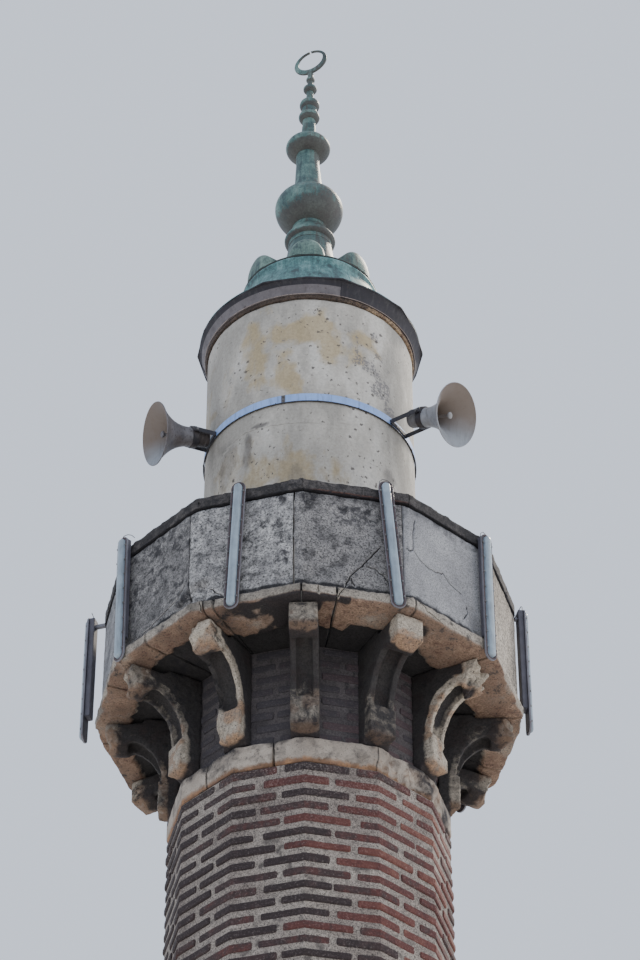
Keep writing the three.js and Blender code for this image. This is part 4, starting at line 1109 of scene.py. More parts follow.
# Parapet face, place along it, lean in degrees, rise, distance off the coping, and whether a wire shows
LAMPS = [
    (-4, 0.385, 0, 0.01, 0.088, True), (-2, -0.365, -1, 0.035, 0, True),
    (-1, -0.076, 2.2, 0.005, 0, False), (0, 0.279, -4.4, 0.015, 0, True), (1, 0.362, 0, -0.04, 0, True),
    (3, -0.385, 0, -0.03, 0.024, True), (4, -0.02, 0, 0, 0, False), (5, 0.06, 0, 0, 0, True),
    (6, 0.11, 0, 0, 0, False), (7, 0, 0, 0, 0, True),
]
# Half width, depth from the wall and finish of each level, from the rim's back to the cover's crest
LAMP_LEVELS = [
    (0.059, 0.046, 0), (0.059, 0.059, 0), (0.0565, 0.062, 0), (0.0415, 0.062, 1), (0.0395, 0.056, 1),
    (0.0355, 0.056, 1), (0.0335, 0.06, 2), (0.033, 0.073, 2), (0.03, 0.081, 2), (0.024, 0.086, 2),
    (0.015, 0.0895, 2), (0.004, 0.0905, 2),
]


def painted_metal(name, code, worn, rust, roughness, metallic=0.0, rust_from=0.62):
    """Paint on sheet metal: chalky patches, run dirt, brown dust and painted shade where marked, and rust
    in spots.
    """
    material, add = new_finish(name)
    place = add("TexCoord").outputs["Object"]
    chalk = add("TexNoise", {"Vector": place, "Scale": 7, "Detail": 6, "Roughness": 0.65})
    drawn = add("Mapping", {"Vector": place, "Scale": (30, 30, 3)})
    runs = add("TexNoise", {"Vector": drawn, "Scale": 1, "Detail": 5, "Roughness": 0.7})
    spots = add("TexNoise", {"Vector": place, "Scale": 38, "Detail": 7, "Roughness": 0.75})
    worn_share = add("MapRange", {"Value": chalk, "From Min": 0.38, "From Max": 0.66})
    coat = add("MixRGB", {"Fac": worn_share, "Color1": paint(code), "Color2": paint(worn)})
    run_share = add("MapRange", {"Value": runs, "From Min": 0.5, "From Max": 0.74, "To Max": 0.55})
    dirty = add("MixRGB", {"Fac": run_share, "Color1": coat, "Color2": paint("4c4a4b")})
    # The dust mark browns the paint: dust, and inside the horns painted shade as well
    dust = add("Attribute", attribute_name="dust").outputs["Fac"]
    dusted_and_shaded = add("MixRGB", {"Fac": dust, "Color1": dirty, "Color2": paint("6b5b4d")})
    rusted = add("MapRange", {
        "Value": spots, "From Min": rust_from, "From Max": rust_from + 0.06, "To Max": 0.9})
    body = add("MixRGB", {"Fac": rusted, "Color1": dusted_and_shaded, "Color2": paint(rust)})
    end_finish(add, body, roughness, rusted, 0.3, 0.0015, metallic)
    return material


# Stove-enamelled sheet steel: lilac grey, chalky, spotted with rust
lamp_enamel = painted_metal("lilac-grey stove enamel", "797982", "64636b", "6b4236", 0.5)
# The tray behind it never sees the sun, and is painted darker as shade: lead grey and dull
shaded_lamp_tray = painted_metal("lead-grey steel tray, painted dark as shade", "585762", "46454e", "5a3d36", 0.6)
# The gasket and its rust run: a dark red-brown line round the cover
rusty_gasket = painted_metal("rusty gasket", "51464a", "403a3e", "6b4a40", 0.85, rust_from=0.57)
# Milky polycarbonate: pale blue grey, with a soft gloss and dust in the hollows
milky_cover = painted_metal("milky polycarbonate", "96a6b2", "828f9b", "5f5a56", 0.3, rust_from=0.66)
# Galvanised wire and clips
galvanised = painted_metal("galvanised wire", "7d7c7e", "5f5c5c", "6b4a3a", 0.55, metallic=0.5)


def oblong(half_width, half_length, depth, steps=7):
    """Points round a long plate with round ends, standing in XZ with its face towards -Y."""
    reach = half_length - half_width
    points = []
    for end, start in ((1, 0), (-1, math.pi)):
        for i in range(steps + 1):
            angle = start + math.pi * i / steps
            along = end * reach + half_width * math.sin(angle)
            points.append((half_width * math.cos(angle), -depth, along))
    return points


def soft_block(build, place, size, softening=0, segments=1):
    """Adds a block of a size at a place, with its edges softened."""
    matrix = place @ Matrix.Diagonal((*size, 1))
    corners = set(bmesh.ops.create_cube(build, size=1, matrix=matrix)["verts"])
    if softening:
        edges = [edge for edge in build.edges if edge.verts[0] in corners]
        bmesh.ops.bevel(build, geom=edges, offset=softening, segments=segments, affect="EDGES")


def lamp_mesh(off, wired):
    """A lamp standing at its own middle: tray, rim, gasket, cover, and its wire or hanger."""
    build = bmesh.new()
    half_length = LAMP_LENGTH / 2
    half_width, depth, tray_length = TRAY
    top = half_length - 0.02
    place = Matrix.Translation((0, -depth / 2, top - tray_length / 2))
    soft_block(build, place, (2 * half_width, depth, tray_length), 0.004, 2)
    rows = [[build.verts.new(p) for p in oblong(width, half_length - (LAMP_LEVELS[0][0] - width), level)]
            for width, level, _ in LAMP_LEVELS]
    build.faces.new(rows[0])
    for face in build.faces:
        face.material_index = 4
    for row, after, (_, _, coat) in zip(rows, rows[1:], LAMP_LEVELS[1:]):
        for i in range(len(row)):
            j = (i + 1) % len(row)
            build.faces.new((row[i], row[j], after[j], after[i])).material_index = coat
    build.faces.new(rows[-1]).material_index = 2
    if off:
        soft_block(build, Matrix.Translation((0, off / 2, top - 0.075)), (0.03, off, 0.03))
    if wired:
        route = [(-0.045, -0.035, top - 0.01), (-0.04, -0.037, top + 0.03), (-0.012, -0.036, top + 0.058),
                 (0.03, -0.03, top + 0.052), (0.065, -0.018, top + 0.03), (0.085, -0.004, top + 0.0)]
        wire = wire_mesh(route, 0.0032)
        first = len(build.faces)
        build.from_mesh(wire)
        build.faces.ensure_lookup_table()
        for face in build.faces[first:]:
            face.material_index = 3
    return mesh_of(build, lamp_enamel, rusty_gasket, milky_cover, galvanised, shaded_lamp_tray)


def wire_mesh(route, radius, sides=8):
    """A closed round wire along a route of points."""
    build = bmesh.new()
    points = [Vector(p) for p in route]
    rows = []
    for i, point in enumerate(points):
        heading = (points[min(i + 1, len(points) - 1)] - points[max(i - 1, 0)]).normalized()
        side = heading.cross(Vector((0.3, 1, 0.2))).normalized()
        up = side.cross(heading)
        angles = [2 * math.pi * j / sides for j in range(sides)]
        rows.append([point + radius * (side * math.cos(a) + up * math.sin(a)) for a in angles])
    skin(build, rows)
    return mesh_of(build)


def row_tree():
    """Sets the mesh that comes in out along a straight row."""
    tree, add, given = new_tree("row", {
        "Count": "Int", "Start": "Vector", "Step": "Vector", "Finish": "Material"})
    points = add("GeometryNodeMeshLine", {
        "Count": given["Count"], "Start Location": given["Start"], "Offset": given["Step"]})
    set_out = add("GeometryNodeInstanceOnPoints", {"Points": points, "Instance": given["Geometry"]})
    end_tree(add, set_out, given)
    return tree


row = row_tree()
clip_build = bmesh.new()
soft_block(clip_build, Matrix(), (0.012, 0.02, 0.014), 0.002)
clip = mesh_of(clip_build, galvanised)
all_clips = bmesh.new()
for number, (face, along, lean, rise, off, wired) in enumerate(LAMPS, 1):
    place = (
        Matrix.Rotation(math.radians(BALCONY_TURN + (face + 0.5) * SIDE_ANGLE), 4, "Z")
        @ Matrix.Translation((along, -LAMP_SEAT - off, LAMP_BOTTOM + LAMP_LENGTH / 2 + rise))
        @ Matrix.Rotation(math.radians(lean), 4, "Y"))
    lamp = lamp_mesh(off, wired)
    lamp.transform(place)
    lamp.shade_smooth()
    lamp.set_sharp_from_angle(angle=math.radians(35))
    stand(f"strip_lamp_{number:02d}", lamp, "lamp_body", f"lamp_{number:02d}")
    for side in (-1, 1):
        clips = grow(clip.copy(), [(row, {
            "Count": 8, "Start": (side * 0.047, -0.064, -0.52), "Step": (0, 0, 0.149),
            "Finish": galvanised})])
        clips.transform(place)
        all_clips.from_mesh(clips)
stand("lamp_clips", mesh_of(all_clips, galvanised), "lamp_body")

# The upper drum
# A round rubble wall, plastered smooth and limewashed cream. Ochre shows
# where the wash has gone, grey where the plaster has flaked down to its
# first coat, and one old crack runs round it under the loudspeakers' band.
DRUM_RADIUS = 0.8985
DRUM_TOP = 20.998
DRUM_WALL = 0.25
BALCONY_DOOR_HALF = 0.32
BALCONY_DOOR_SPRINGING = 18.6
BALCONY_DOOR_FACE = 0.735
# Patches as (azimuth, height, half width in degrees, half height, strength)
OCHRE_PATCHES = [
    (0, 20.62, 30, 0.22, 0.8), (-30, 20.45, 14, 0.4, 0.7), (-12, 20.25, 9, 0.35, 0.75),
    (16, 20.5, 20, 0.24, 0.8), (-16, 19.1, 30, 0.3, 0.65), (14, 19.05, 20, 0.16, 0.4),
    (-46, 19.2, 20, 0.4, 0.45), (-48, 20.3, 12, 0.6, 0.35), (150, 20.0, 40, 0.5, 0.5),
    (-140, 19.6, 30, 0.6, 0.6), (-90, 20.2, 25, 0.5, 0.5),
]
FLAKED_PATCHES = [
    (38, 20.33, 10, 0.22, 0.95), (44, 20.12, 10, 0.24, 1.0), (48, 19.94, 8, 0.16, 0.9),
    (28, 20.5, 3, 0.16, 0.95), (27, 20.36, 5, 0.06, 1.0), (-12.5, 20.54, 3, 0.05, 1.2),
    (40, 20.75, 3.5, 0.08, 0.9), (52, 19.55, 10, 0.12, 0.7), (61, 20.45, 9, 0.3, 0.75),
    (-60, 19.3, 8, 0.3, 0.7), (-26, 20.2, 4, 0.2, 0.72), (10, 20.45, 12, 0.1, 0.66),
    (36, 19.62, 8, 0.14, 0.8), (44, 19.3, 9, 0.2, 0.78), (33, 20.06, 6, 0.14, 0.78),
    (22, 20.1, 8, 0.2, 0.66), (110, 20.2, 16, 0.3, 0.9), (-120, 19.2, 18, 0.3, 0.9),
]
DAMP_PATCHES = [
    (-34, 19.4, 3, 0.3, 0.75), (-27, 19.64, 6, 0.03, 0.9), (-48, 19.45, 9, 0.35, 0.6),
    (-5, 19.0, 4, 0.25, 0.6), (30, 19.3, 20, 0.35, 0.35), (48, 19.1, 8, 0.3, 0.6),
    (-33, 20.45, 2, 0.35, 0.4), (-62, 20.1, 10, 0.8, 0.45), (170, 19.3, 30, 0.5, 0.6),
    (20, 19.62, 6, 0.02, 0.5),
]
# The old crack's route, as (place in twelfths, height)
PLASTER_CRACK = [
    (-2.1, 19.42), (-1.7, 19.55), (-1.4, 19.6), (-1.17, 19.625), (-0.8, 19.605), (-0.3, 19.59),
    (0.25, 19.58),
]


def plaster_finish():
    """Limewashed plaster: cream over ochre over grey, with pits and fine cracks."""
    material, add = new_finish("limewashed lime plaster")
    place = add("TexCoord").outputs["Object"]
    stretched = add("Mapping", {"Vector": place, "Scale": (1, 1, 0.4)})
    wash = add("TexNoise", {"Vector": stretched, "Scale": 3.5, "Detail": 8, "Roughness": 0.66})
    runs = add("TexNoise", {"Vector": stretched, "Scale": 14, "Detail": 8, "Roughness": 0.72})
    crumbs = add("TexNoise", {"Vector": place, "Scale": 42, "Detail": 7, "Roughness": 0.7})
    body = add("ValToRGB", {"Fac": wash}, stops=[(0.4, "a19d95"), (0.62, "cbc7bf"), (0.52, "b8b3aa")])
    for mark_name, code, noise_node, low, high, most in (
            ("stain", "ac9667", runs, 0.76, 1.1, 0.66), ("soot_and_shade", "5f5b58", runs, 0.76, 1.2, 0.8),
            ("flake", "757273", crumbs, 1.25, 1.28, 0.85)):
        amount = add("Attribute", attribute_name=mark_name).outputs["Fac"]
        pushed = add("Math", {0: amount, 1: 0.85, 2: noise_node}, operation="MULTIPLY_ADD")
        share = add("MapRange", {
            "Value": pushed, "From Min": low, "From Max": high, "To Max": most})
        body = add("MixRGB", {"Fac": share, "Color1": body, "Color2": paint(code)})
    jostled = add("MixRGB", {"Fac": 0.06, "Color1": place, "Color2": crumbs.outputs["Color"]})
    pits = add("TexVoronoi", {"Vector": jostled, "Scale": 16, "Randomness": 1})
    pit_edge = add("Math", {0: wash, 1: -0.8, 2: pits.outputs["Distance"]}, operation="MULTIPLY_ADD")
    ragged = add("Math", {0: crumbs, 1: 0.35, 2: pit_edge}, operation="MULTIPLY_ADD")
    pitted = add("MapRange", {
        "Value": ragged, "From Min": -0.08, "From Max": -0.1, "To Max": 0.85})
    holed = add("MixRGB", {"Fac": pitted, "Color1": body, "Color2": paint("55504c")})
    dust = add("ValToRGB", {"Fac": crumbs}, stops=[(0.3, "c8c8c8"), (0.6, "ffffff")])
    dusty = add("MixRGB", {"Fac": 0.6, "Color1": holed, "Color2": dust}, blend_type="MULTIPLY")
    lost = add("Math", {0: share, 1: pitted}, operation="ADD")
    surface = add("Math", {0: crumbs, 1: 0.4}, operation="MULTIPLY")
    height = add("Math", {0: surface, 1: lost}, operation="SUBTRACT")
    end_finish(add, dusty, 0.88, height, 0.5, 0.004)
    return material


def spin(outline, steps, finish, bend=None):
    """Turns an outline of (reach, height) round the Z axis. A point at reach 0 closes the end."""
    build = bmesh.new()
    rows = []
    for azimuth in (360 * i / steps for i in range(steps)):
        across = Vector((math.sin(math.radians(azimuth)), -math.cos(math.radians(azimuth)), 0))
        rows.append([
            across * (bend(azimuth, reach, height) if bend else reach) + Vector((0, 0, height))
            for reach, height in outline])
    skin(build, rows, capped=False)
    bmesh.ops.remove_doubles(build, verts=build.verts, dist=1e-6)
    bmesh.ops.dissolve_degenerate(build, edges=build.edges, dist=1e-7)
    mesh = mesh_of(build, finish)
    mesh.shade_smooth()
    mesh.set_sharp_from_angle(angle=math.radians(38))
    return mesh


def patchwork(point, patches):
    """How strongly the patches, ragged at their edges, cover a point of the drum."""
    azimuth = azimuth_of(point)
    ragged = 1.5 * (cloud(point, 5, 7) - 0.5)
    cover = 0
    for middle, height, half_width, half_height, strength in patches:
        apart = math.hypot((azimuth - middle) / half_width, (point.z - height) / half_height)
        cover = max(cover, strength * between(apart + ragged, 1.35, 0.5))
    return cover


lime_plaster = plaster_finish()
drum_foot = SLAB_TOP + 0.0005
drum_outline = line((DRUM_RADIUS, drum_foot), (DRUM_RADIUS, DRUM_TOP), 0.026) + [
    (DRUM_RADIUS, DRUM_TOP), (DRUM_RADIUS - DRUM_WALL, DRUM_TOP), (DRUM_RADIUS - DRUM_WALL, drum_foot)]
drum = grow(
    spin(drum_outline, 240, lime_plaster),
    [(stone_wear, {"Edge wear": 0.2, "Softening": 1, "Depth": 0.005, "Grain": 0.22, "Chip": 0.3,
                   "Finish": lime_plaster})])
mark(drum, "stain", lambda p: patchwork(p, OCHRE_PATCHES))
mark(drum, "flake", lambda p: min(0.92, patchwork(p, FLAKED_PATCHES)))
# Grey where marked: damp patches, and darker towards the bottom and towards the left side (-X)
mark(drum, "soot_and_shade", lambda p: max(
    patchwork(p, DAMP_PATCHES), 0.38 * between(p.z, 19.8, 19.3), 0.4 * between(azimuth_of(p), -20, -60)))
drum_piece = stand("drum_plaster", drum, "plaster", "upper_drum")
cut_away(drum_piece, pushed_out(
    arch_outline(BALCONY_DOOR_HALF, BALCONY_DOOR_SPRINGING, SLAB_TOP - 0.1), 0.4, 1.2))


def round_plan(place, reach, height):
    """The plan of a round drum, its places counted in twelfths like the parapet's."""
    angle = math.radians(SIDE_ANGLE * place)
    return Vector((math.sin(angle), -math.cos(angle))) * reach


cut_away(drum_piece, crack_cutter(round_plan, DRUM_RADIUS, PLASTER_CRACK, 0.004, 0.016, 4))

# The two doors
# Boarded oak doors under round arches, one at the foot and one to the balcony at the back. Each
# has vertical boards nailed to ledges, iron straps with clout nails, and a ring to pull.
BOARD_GAP = 0.003
# Oiled oak boards gone grey-brown, with open grain running up them
weathered_oak, add = new_finish("weathered oak boards")
place = add("TexCoord").outputs["Object"]
drawn = add("Mapping", {"Vector": place, "Scale": (26, 26, 1.3)})
grain = add("TexNoise", {"Vector": drawn, "Scale": 3, "Detail": 8, "Roughness": 0.7})
patch = add("TexNoise", {"Vector": place, "Scale": 3, "Detail": 4})
mixed = add("Math", {0: patch, 1: 0.5, 2: grain}, operation="MULTIPLY_ADD")
wood = add("ValToRGB", {"Fac": mixed}, stops=[(0.5, "352a22"), (0.95, "7d6a55"), (0.72, "5d4a38")])
end_finish(add, wood, 0.75, grain, 0.5, 0.003)
NAIL_LINE = [(0, 0.006), (0.006, 0.005), (0.0105, 0.001), (0.0105, -0.004), (0, -0.004)]
# Forged iron, black with a brown bloom of rust
forged_iron = painted_metal(
    "black forged iron", "302e32", "3d383a", "5e4234", 0.6, metallic=0.6, rust_from=0.58)


def boarded_door(name, node, half, springing, foot, face, back, facing):
    """A door of boards cut to an arch, with straps, nails and a ring on the side it faces (-1 is -Y)."""
    build = bmesh.new()
    count = 6
    width = 2 * half / count
    for i in range(count):
        low, high = -half + i * width + BOARD_GAP / 2, -half + (i + 1) * width - BOARD_GAP / 2
        steps = 6
        tops = [low + (high - low) * j / steps for j in range(steps + 1)]
        crown = [(x, springing + math.sqrt(max(0, half * half - x * x))) for x in reversed(tops)]
        outline = [(low, foot), (high, foot)] + crown
        skin(build, [[(x, y, z) for x, z in outline] for y in (face, back)])
    edges = [e for e in build.edges if all(abs(v.co.y - face) < 1e-6 for v in e.verts)]
    bmesh.ops.bevel(build, geom=edges, offset=0.0025, segments=2, affect="EDGES")
    stand(f"{name}_boards", mesh_of(build, weathered_oak), "door_timber", node)

    iron = bmesh.new()
    front = face + facing * 0.004
    for height in (foot + 0.25, (foot + springing) / 2, springing - 0.1):
        strap = Matrix.Translation((-0.04, front, height))
        soft_block(iron, strap, (2 * half - 0.1, 0.008, 0.055), 0.002)
        nail = spin(NAIL_LINE, 10, forged_iron)
        nail.transform(Matrix.Rotation(math.radians(-90 * facing), 4, "X"))
        iron.from_mesh(grow(nail, [(row, {
            "Count": count, "Start": (-half + width / 2, face + facing * 0.01, height),
            "Step": (width, 0, 0), "Finish": forged_iron})]))
    ring = spin([(0.045 + 0.006 * math.cos(a), 0.006 * math.sin(a))
                 for a in (math.pi * i / 4 for i in range(8))], 24, forged_iron)
    ring.transform(Matrix.Translation((half - 0.12, face + facing * 0.02, (foot + springing) / 2 - 0.12))
                   @ Matrix.Rotation(math.pi / 2, 4, "X"))
    iron.from_mesh(ring)
    stand(f"{name}_ironwork", mesh_of(iron, forged_iron), "door_timber")


boarded_door(
    "ground_door", "base_door", DOOR_HALF - 0.0003, DOOR_SPRINGING, PLINTH_TOP + 0.0003, -1.25, -1.19, -1)
boarded_door(
    "balcony_door", "balcony_door", BALCONY_DOOR_HALF - 0.0003, BALCONY_DOOR_SPRINGING,
    SLAB_TOP + 0.0003, BALCONY_DOOR_FACE, 0.69, 1)

# The loudspeakers' band and cable
# A blue-painted flat steel band clamped round the drum, butted under a
# small cover plate, with the speaker cable tied on below it.
BAND = (19.825, 19.905)
BAND_NEAR, BAND_FAR = 0.9003, 0.9063
BAND_SEAM = -12.5
CABLE_RADIUS = 0.006
CABLE_LEVEL = 19.8187
# Light blue gloss paint on flat steel, chalked by the sun, with rust at a few chips
blue_gloss = painted_metal("light blue gloss paint", "93b4ea", "86a6dc", "6a5a5c", 0.42, rust_from=0.72)
# Black cable sheath: soft sheen, grey with dust
cable_sheath = painted_metal("black cable sheath", "232227", "38363a", "4c4744", 0.6, rust_from=0.68)
band_outline = [(BAND_NEAR, BAND[0]), (BAND_FAR - 0.001, BAND[0]), (BAND_FAR, BAND[0] + 0.001),
                (BAND_FAR, BAND[1] - 0.001), (BAND_FAR - 0.001, BAND[1]), (BAND_NEAR, BAND[1])]
stand("band_strip", spin(band_outline, 180, blue_gloss), "blue_steel", "speaker_band")
cover = bmesh.new()
turn = Matrix.Rotation(math.radians(BAND_SEAM), 4, "Z")
plate_place = turn @ Matrix.Translation((0, -BAND_FAR - 0.001, sum(BAND) / 2))
soft_block(cover, plate_place, (0.034, 0.005, 0.074), 0.001)
bolt = spin([(0, 0.007), (0.006, 0.007), (0.0075, 0.005), (0.0075, 0)], 6, galvanised)
bolt.transform(Matrix.Rotation(math.radians(90), 4, "X"))
bolts = grow(bolt, [(row, {
    "Count": 2, "Start": (0, -BAND_FAR - 0.003, BAND[0] + 0.02), "Step": (0, 0, 0.04),
    "Finish": galvanised})])
bolts.transform(turn)
cover.from_mesh(bolts)
stand("band_cover_plate", mesh_of(cover, galvanised), "blue_steel")
cable_reach = 0.9 + 0.0003 + CABLE_RADIUS
cable_outline = [(cable_reach + CABLE_RADIUS * math.cos(a), CABLE_LEVEL + CABLE_RADIUS * math.sin(a))
                 for a in (2 * math.pi * i / 12 for i in range(12))]
stand("cable_ring", spin(cable_outline, 180, cable_sheath), "cable_sheath", "speaker_cable")


def round_tree():
    """Sets the mesh that comes in out round the tower's axis, the first one turned as asked."""
    tree, add, given = new_tree("round the tower", {"Count": "Int", "Turn": "Float", "Finish": "Material"})
    points = add("GeometryNodePoints", {"Count": given["Count"]})
    step = add("Math", {0: 2 * math.pi, 1: given["Count"]}, operation="DIVIDE")
    angle = add("Math", {
        0: add("GeometryNodeInputIndex"), 1: step, 2: given["Turn"]}, operation="MULTIPLY_ADD")
    turned = add("CombineXYZ", {"Z": angle})
    set_out = add("GeometryNodeInstanceOnPoints", {
        "Points": points, "Instance": given["Geometry"], "Rotation": turned})
    end_tree(add, set_out, given)
    return tree


round_tower = round_tree()
tie_build = bmesh.new()
tie_place = Matrix.Translation((0, -cable_reach - 0.003, CABLE_LEVEL + 0.002))
soft_block(tie_build, tie_place, (0.006, 0.01, 0.019), 0.0015, 2)
ties = grow(mesh_of(tie_build, cable_sheath), [(round_tower, {
    "Count": 16, "Turn": math.radians(6), "Finish": cable_sheath})])
stand("cable_ties", ties, "cable_sheath")

# The horn loudspeakers
# Two spun-aluminium horns with dark drivers, each bolted between the arms of a U-shaped strap that sits
# on the band. The grey paint has chalked, and the upper half inside the bells is painted brown, as road
# dust and as shade.
PIVOT_HEIGHT = 19.855
# Side, azimuth, droop and the pivot's reach
HORNS = [("left", -66.2, 12, 1.068), ("right", 57.3, 21.5, 1.161)]
# Along and across a horn's axis: where the driver ends and its flange starts, the throat, and the cap
DRIVER_END, FLANGE_REACH = 0.0265, 0.082
THROAT_ALONG, THROAT_REACH = 0.05, 0.07
CAP_ALONG, CAP_REACH = 0.25, 0.033
# Grey paint on spun aluminium, chalked and streaked
bell_paint = painted_metal("chalked grey paint", "9c9fa6", "85868a", "5b5049", 0.5, rust_from=0.66)
# The left horn's paint has weathered further: brown-grey, streaked and speckled
worn_paint = painted_metal("weathered grey paint", "747276", "565357", "3c3735", 0.55, rust_from=0.54)
# The inside of the bell, browned in the upper half by dust and by painted shade
dusty_shaded_bell = painted_metal("dusty grey paint, painted darker for shade", "8f959c", "83878d", "5b5049", 0.6, rust_from=0.72)
# The pale cap over the throat
plug_paint = painted_metal("pale cap", "9c9ea0", "87888a", "5b5049", 0.5, rust_from=0.72)
# Black crackle paint on the cast driver
driver_black = painted_metal("black crackle paint", "242228", "302e35", "39333a", 0.55, rust_from=0.7)
# Grey crackle paint on the right horn's newer driver
driver_grey = painted_metal("grey crackle paint", "77777a", "66656a", "5a4a44", 0.55, rust_from=0.68)


def bell_line(throat, mouth, start, end, steps):
    """A horn's flare, as (reach, distance along its axis)."""
    return [(throat + (mouth - throat) * (i / steps) ** 2.3, start + (end - start) * i / steps)
            for i in range(steps + 1)]


driver_line = [
    (0, -0.138), (0.03, -0.138), (0.032, -0.134), (0.058, -0.134), (0.076, -0.128), (0.08, -0.116),
    (0.08, -0.098), (0.076, -0.094), (0.076, -0.086), (0.08, -0.082), (0.08, -0.05), (0.076, -0.046),
    (0.076, -0.034), (0.08, -0.03), (0.092, -0.026), (0.096, -0.022), (0.096, 0.022), (0.092, 0.026),
    (0.0845, DRIVER_END)]
rim_line = [
    (0.267, 0.335), (0.272, 0.337), (0.274, 0.341), (0.273, 0.345), (0.269, 0.346), (0.265, 0.343)]
outer_line = bell_line(0.084, 0.262, 0.026, 0.333, 22) + rim_line
inner_line = bell_line(0.066, 0.262, 0.06, 0.34, 22)[::-1]
cap_line = [
    (0.034, 0.058), (0.018, 0.066), (0.013, 0.09), (0.012, 0.262), (0.024, 0.264), (0.029, 0.27),
    (0.028, 0.28), (0.02, 0.286), (0, 0.288)]
nut_line = [(0, 0.01), (0.006, 0.01), (0.0125, 0.008), (0.0125, 0), (0.016, 0), (0.016, -0.002)]
for name, azimuth, droop, pivot in HORNS:
    coat = driver_black if name == "left" else driver_grey
    outline = driver_line + outer_line + inner_line + cap_line
    horn = spin(outline, 72, worn_paint if name == "left" else bell_paint)
    horn.materials.append(coat)
    horn.materials.append(dusty_shaded_bell)
    horn.materials.append(plug_paint if name == "right" else worn_paint)
    horn.materials.append(driver_black)
    for face in horn.polygons:
        along, reach = face.center.z, Vector(face.center.xy).length
        inside = face.normal.xy.dot(face.center.xy) < 0 or (reach < THROAT_REACH and along > THROAT_ALONG)
        cap = reach < CAP_REACH and along > CAP_ALONG
        face.material_index = 1 if along < DRIVER_END else 3 if cap else 2 if inside else 0
        if reach > FLANGE_REACH and along < DRIVER_END:
            face.material_index = 4
    inside_points = {i for face in horn.polygons if face.material_index == 2 for i in face.vertices}
    bearing = math.radians(azimuth)
    pivot_point = (pivot * math.sin(bearing), -pivot * math.cos(bearing), PIVOT_HEIGHT)
    heading = Matrix.Translation(pivot_point) @ Matrix.Rotation(math.radians(azimuth - 90), 4, "Z")
    horn.transform(heading @ Matrix.Rotation(math.radians(90 + droop), 4, "Y"))
    lowest = min(v.co.z for v in horn.vertices)
    # Brown inside the bell's upper half, as dust and painted shade; outside, a little dust in patches
    horn.attributes.new("dust", "FLOAT", "POINT").data.foreach_set("value", [
        0.85 * between(v.co.z + 0.1 * cloud(v.co, 5), lowest + 0.16, lowest + 0.42)
        if v.index in inside_points else 0.2 * between(cloud(v.co, 9), 0.45, 0.7)
        for v in horn.vertices])
    stand(f"horn_{name}_bell", horn, "horn_metal", f"horn_{name}")

    strap = merged_copy(f"horn_bracket_{name}")
    maker = put("maker", strap)
    rounding = maker.modifiers.new("rounding", "BEVEL")
    rounding.width = 0.0012
    rounding.segments = 2
    rounding.limit_method = "ANGLE"
    rounded = applied(maker)
    bpy.data.objects.remove(maker)
    rounded.materials.clear()
    rounded.materials.append(driver_black)
    stand(f"horn_{name}_strap", rounded, "dark_steel", f"horn_bracket_{name}")
    nut = spin(nut_line, 6, galvanised)
    nuts = bmesh.new()
    for side in (-1, 1):
        turned = nut.copy()
        turned.transform(heading @ Matrix.Translation((0, side * 0.121, 0)) @ Matrix.Rotation(
            math.radians(-90 * side), 4, "X"))
        nuts.from_mesh(turned)
    stand(f"horn_{name}_nuts", mesh_of(nuts, galvanised), "dark_steel")

# The eave
# A flat timber ring on the drum's head, then a skirt of sheet iron turned out into a lip, bent by hand.
# The iron is painted grey, with a nearly black patch on the right; the lip and the band under it are
# nearly black too, partly as painted shade. The ring's paint has peeled to bare wood on the right.
EAVE_INSIDE = 0.67
EAVE_RING_TOP = 21.038
LIP_BOTTOM = 21.165
LIP_TOP = 21.18
ROOF_FOOT = 0.972
# The azimuth and reach of each bend of the lip
LIP_BENDS = [
    (0, .988), (18, 1.01), (36, .981), (54.5, .998), (72, .974), (91, .996), (108, .982), (126, 1.003),
    (144, .982), (162, 1.003), (180, .982), (198, 1.003), (216, .982), (234, 1.003), (252, .982),
    (270, .993), (290, .978), (306, .976), (323, .973), (338, 1.005), (360, .988),
]
# Peeling brown paint on pine: dark and speckled, with bare cream wood where it has gone
peeling_pine = stone_finish(
    "peeling brown paint on pine", "5d4e43", "40352f", "272325", 0.08, stain="b1987a",
    grit=0.012, pitting=0.6, speckle=1.0)
# Grey paint on sheet iron, purple-brown where it has weathered off
eave_iron = painted_metal("grey paint on sheet iron", "6f6a6c", "544e51", "463a38", 0.6, rust_from=0.57)
# The darker sheet of the patch and the lip: bare iron under a smooth skin, a purple brown near to black,
# and on the lip and the band under it painted shade as well
patch_and_lip_shade_iron = painted_metal("purple-brown iron skin, painted darker for shade on the lip", "26232b", "1c1a20", "3d3231", 0.7, rust_from=0.6)
# A painted highlight along the sheet's foot, where it meets the ring: a thin, pale, crumbling line
edge_highlight = stone_finish("pale painted edge highlight", "b9aaa0", "8d7f78", "3d3736", 0.1, grit=0.006, pitting=0.6)


def lip_reach(azimuth):
    """The lip's reach on the straight line from one bend to the next."""
    for (low, near), (high, far) in zip(LIP_BENDS, LIP_BENDS[1:]):
        if low <= azimuth <= high:
            a, b, at = math.radians(low), math.radians(high), math.radians(azimuth)
            return near * far * math.sin(b - a) / (near * math.sin(at - a) + far * math.sin(b - at))
    return LIP_BENDS[0][1]


def eave_bend(azimuth, reach, height):
    """Follows the lip outside the roof's foot, and dents the skirt a little below it."""
    bearing = math.radians(azimuth)
    dent = 0.004 * noise.noise(Vector((math.sin(bearing) * 4, math.cos(bearing) * 4, height * 9)))
    if reach <= 0.9:
        return reach
    if reach <= ROOF_FOOT + 1e-6:
        return reach + dent
    return ROOF_FOOT + (lip_reach(azimuth) - ROOF_FOOT) * (reach - ROOF_FOOT) / 0.01


def ring_bend(azimuth, reach, height):
    """Roughens the ring's outer edge, where it was sawn by hand."""
    return reach + (0.003 * noise.noise(Vector((azimuth * 0.2, height * 60, 0))) if reach > 0.9 else 0)


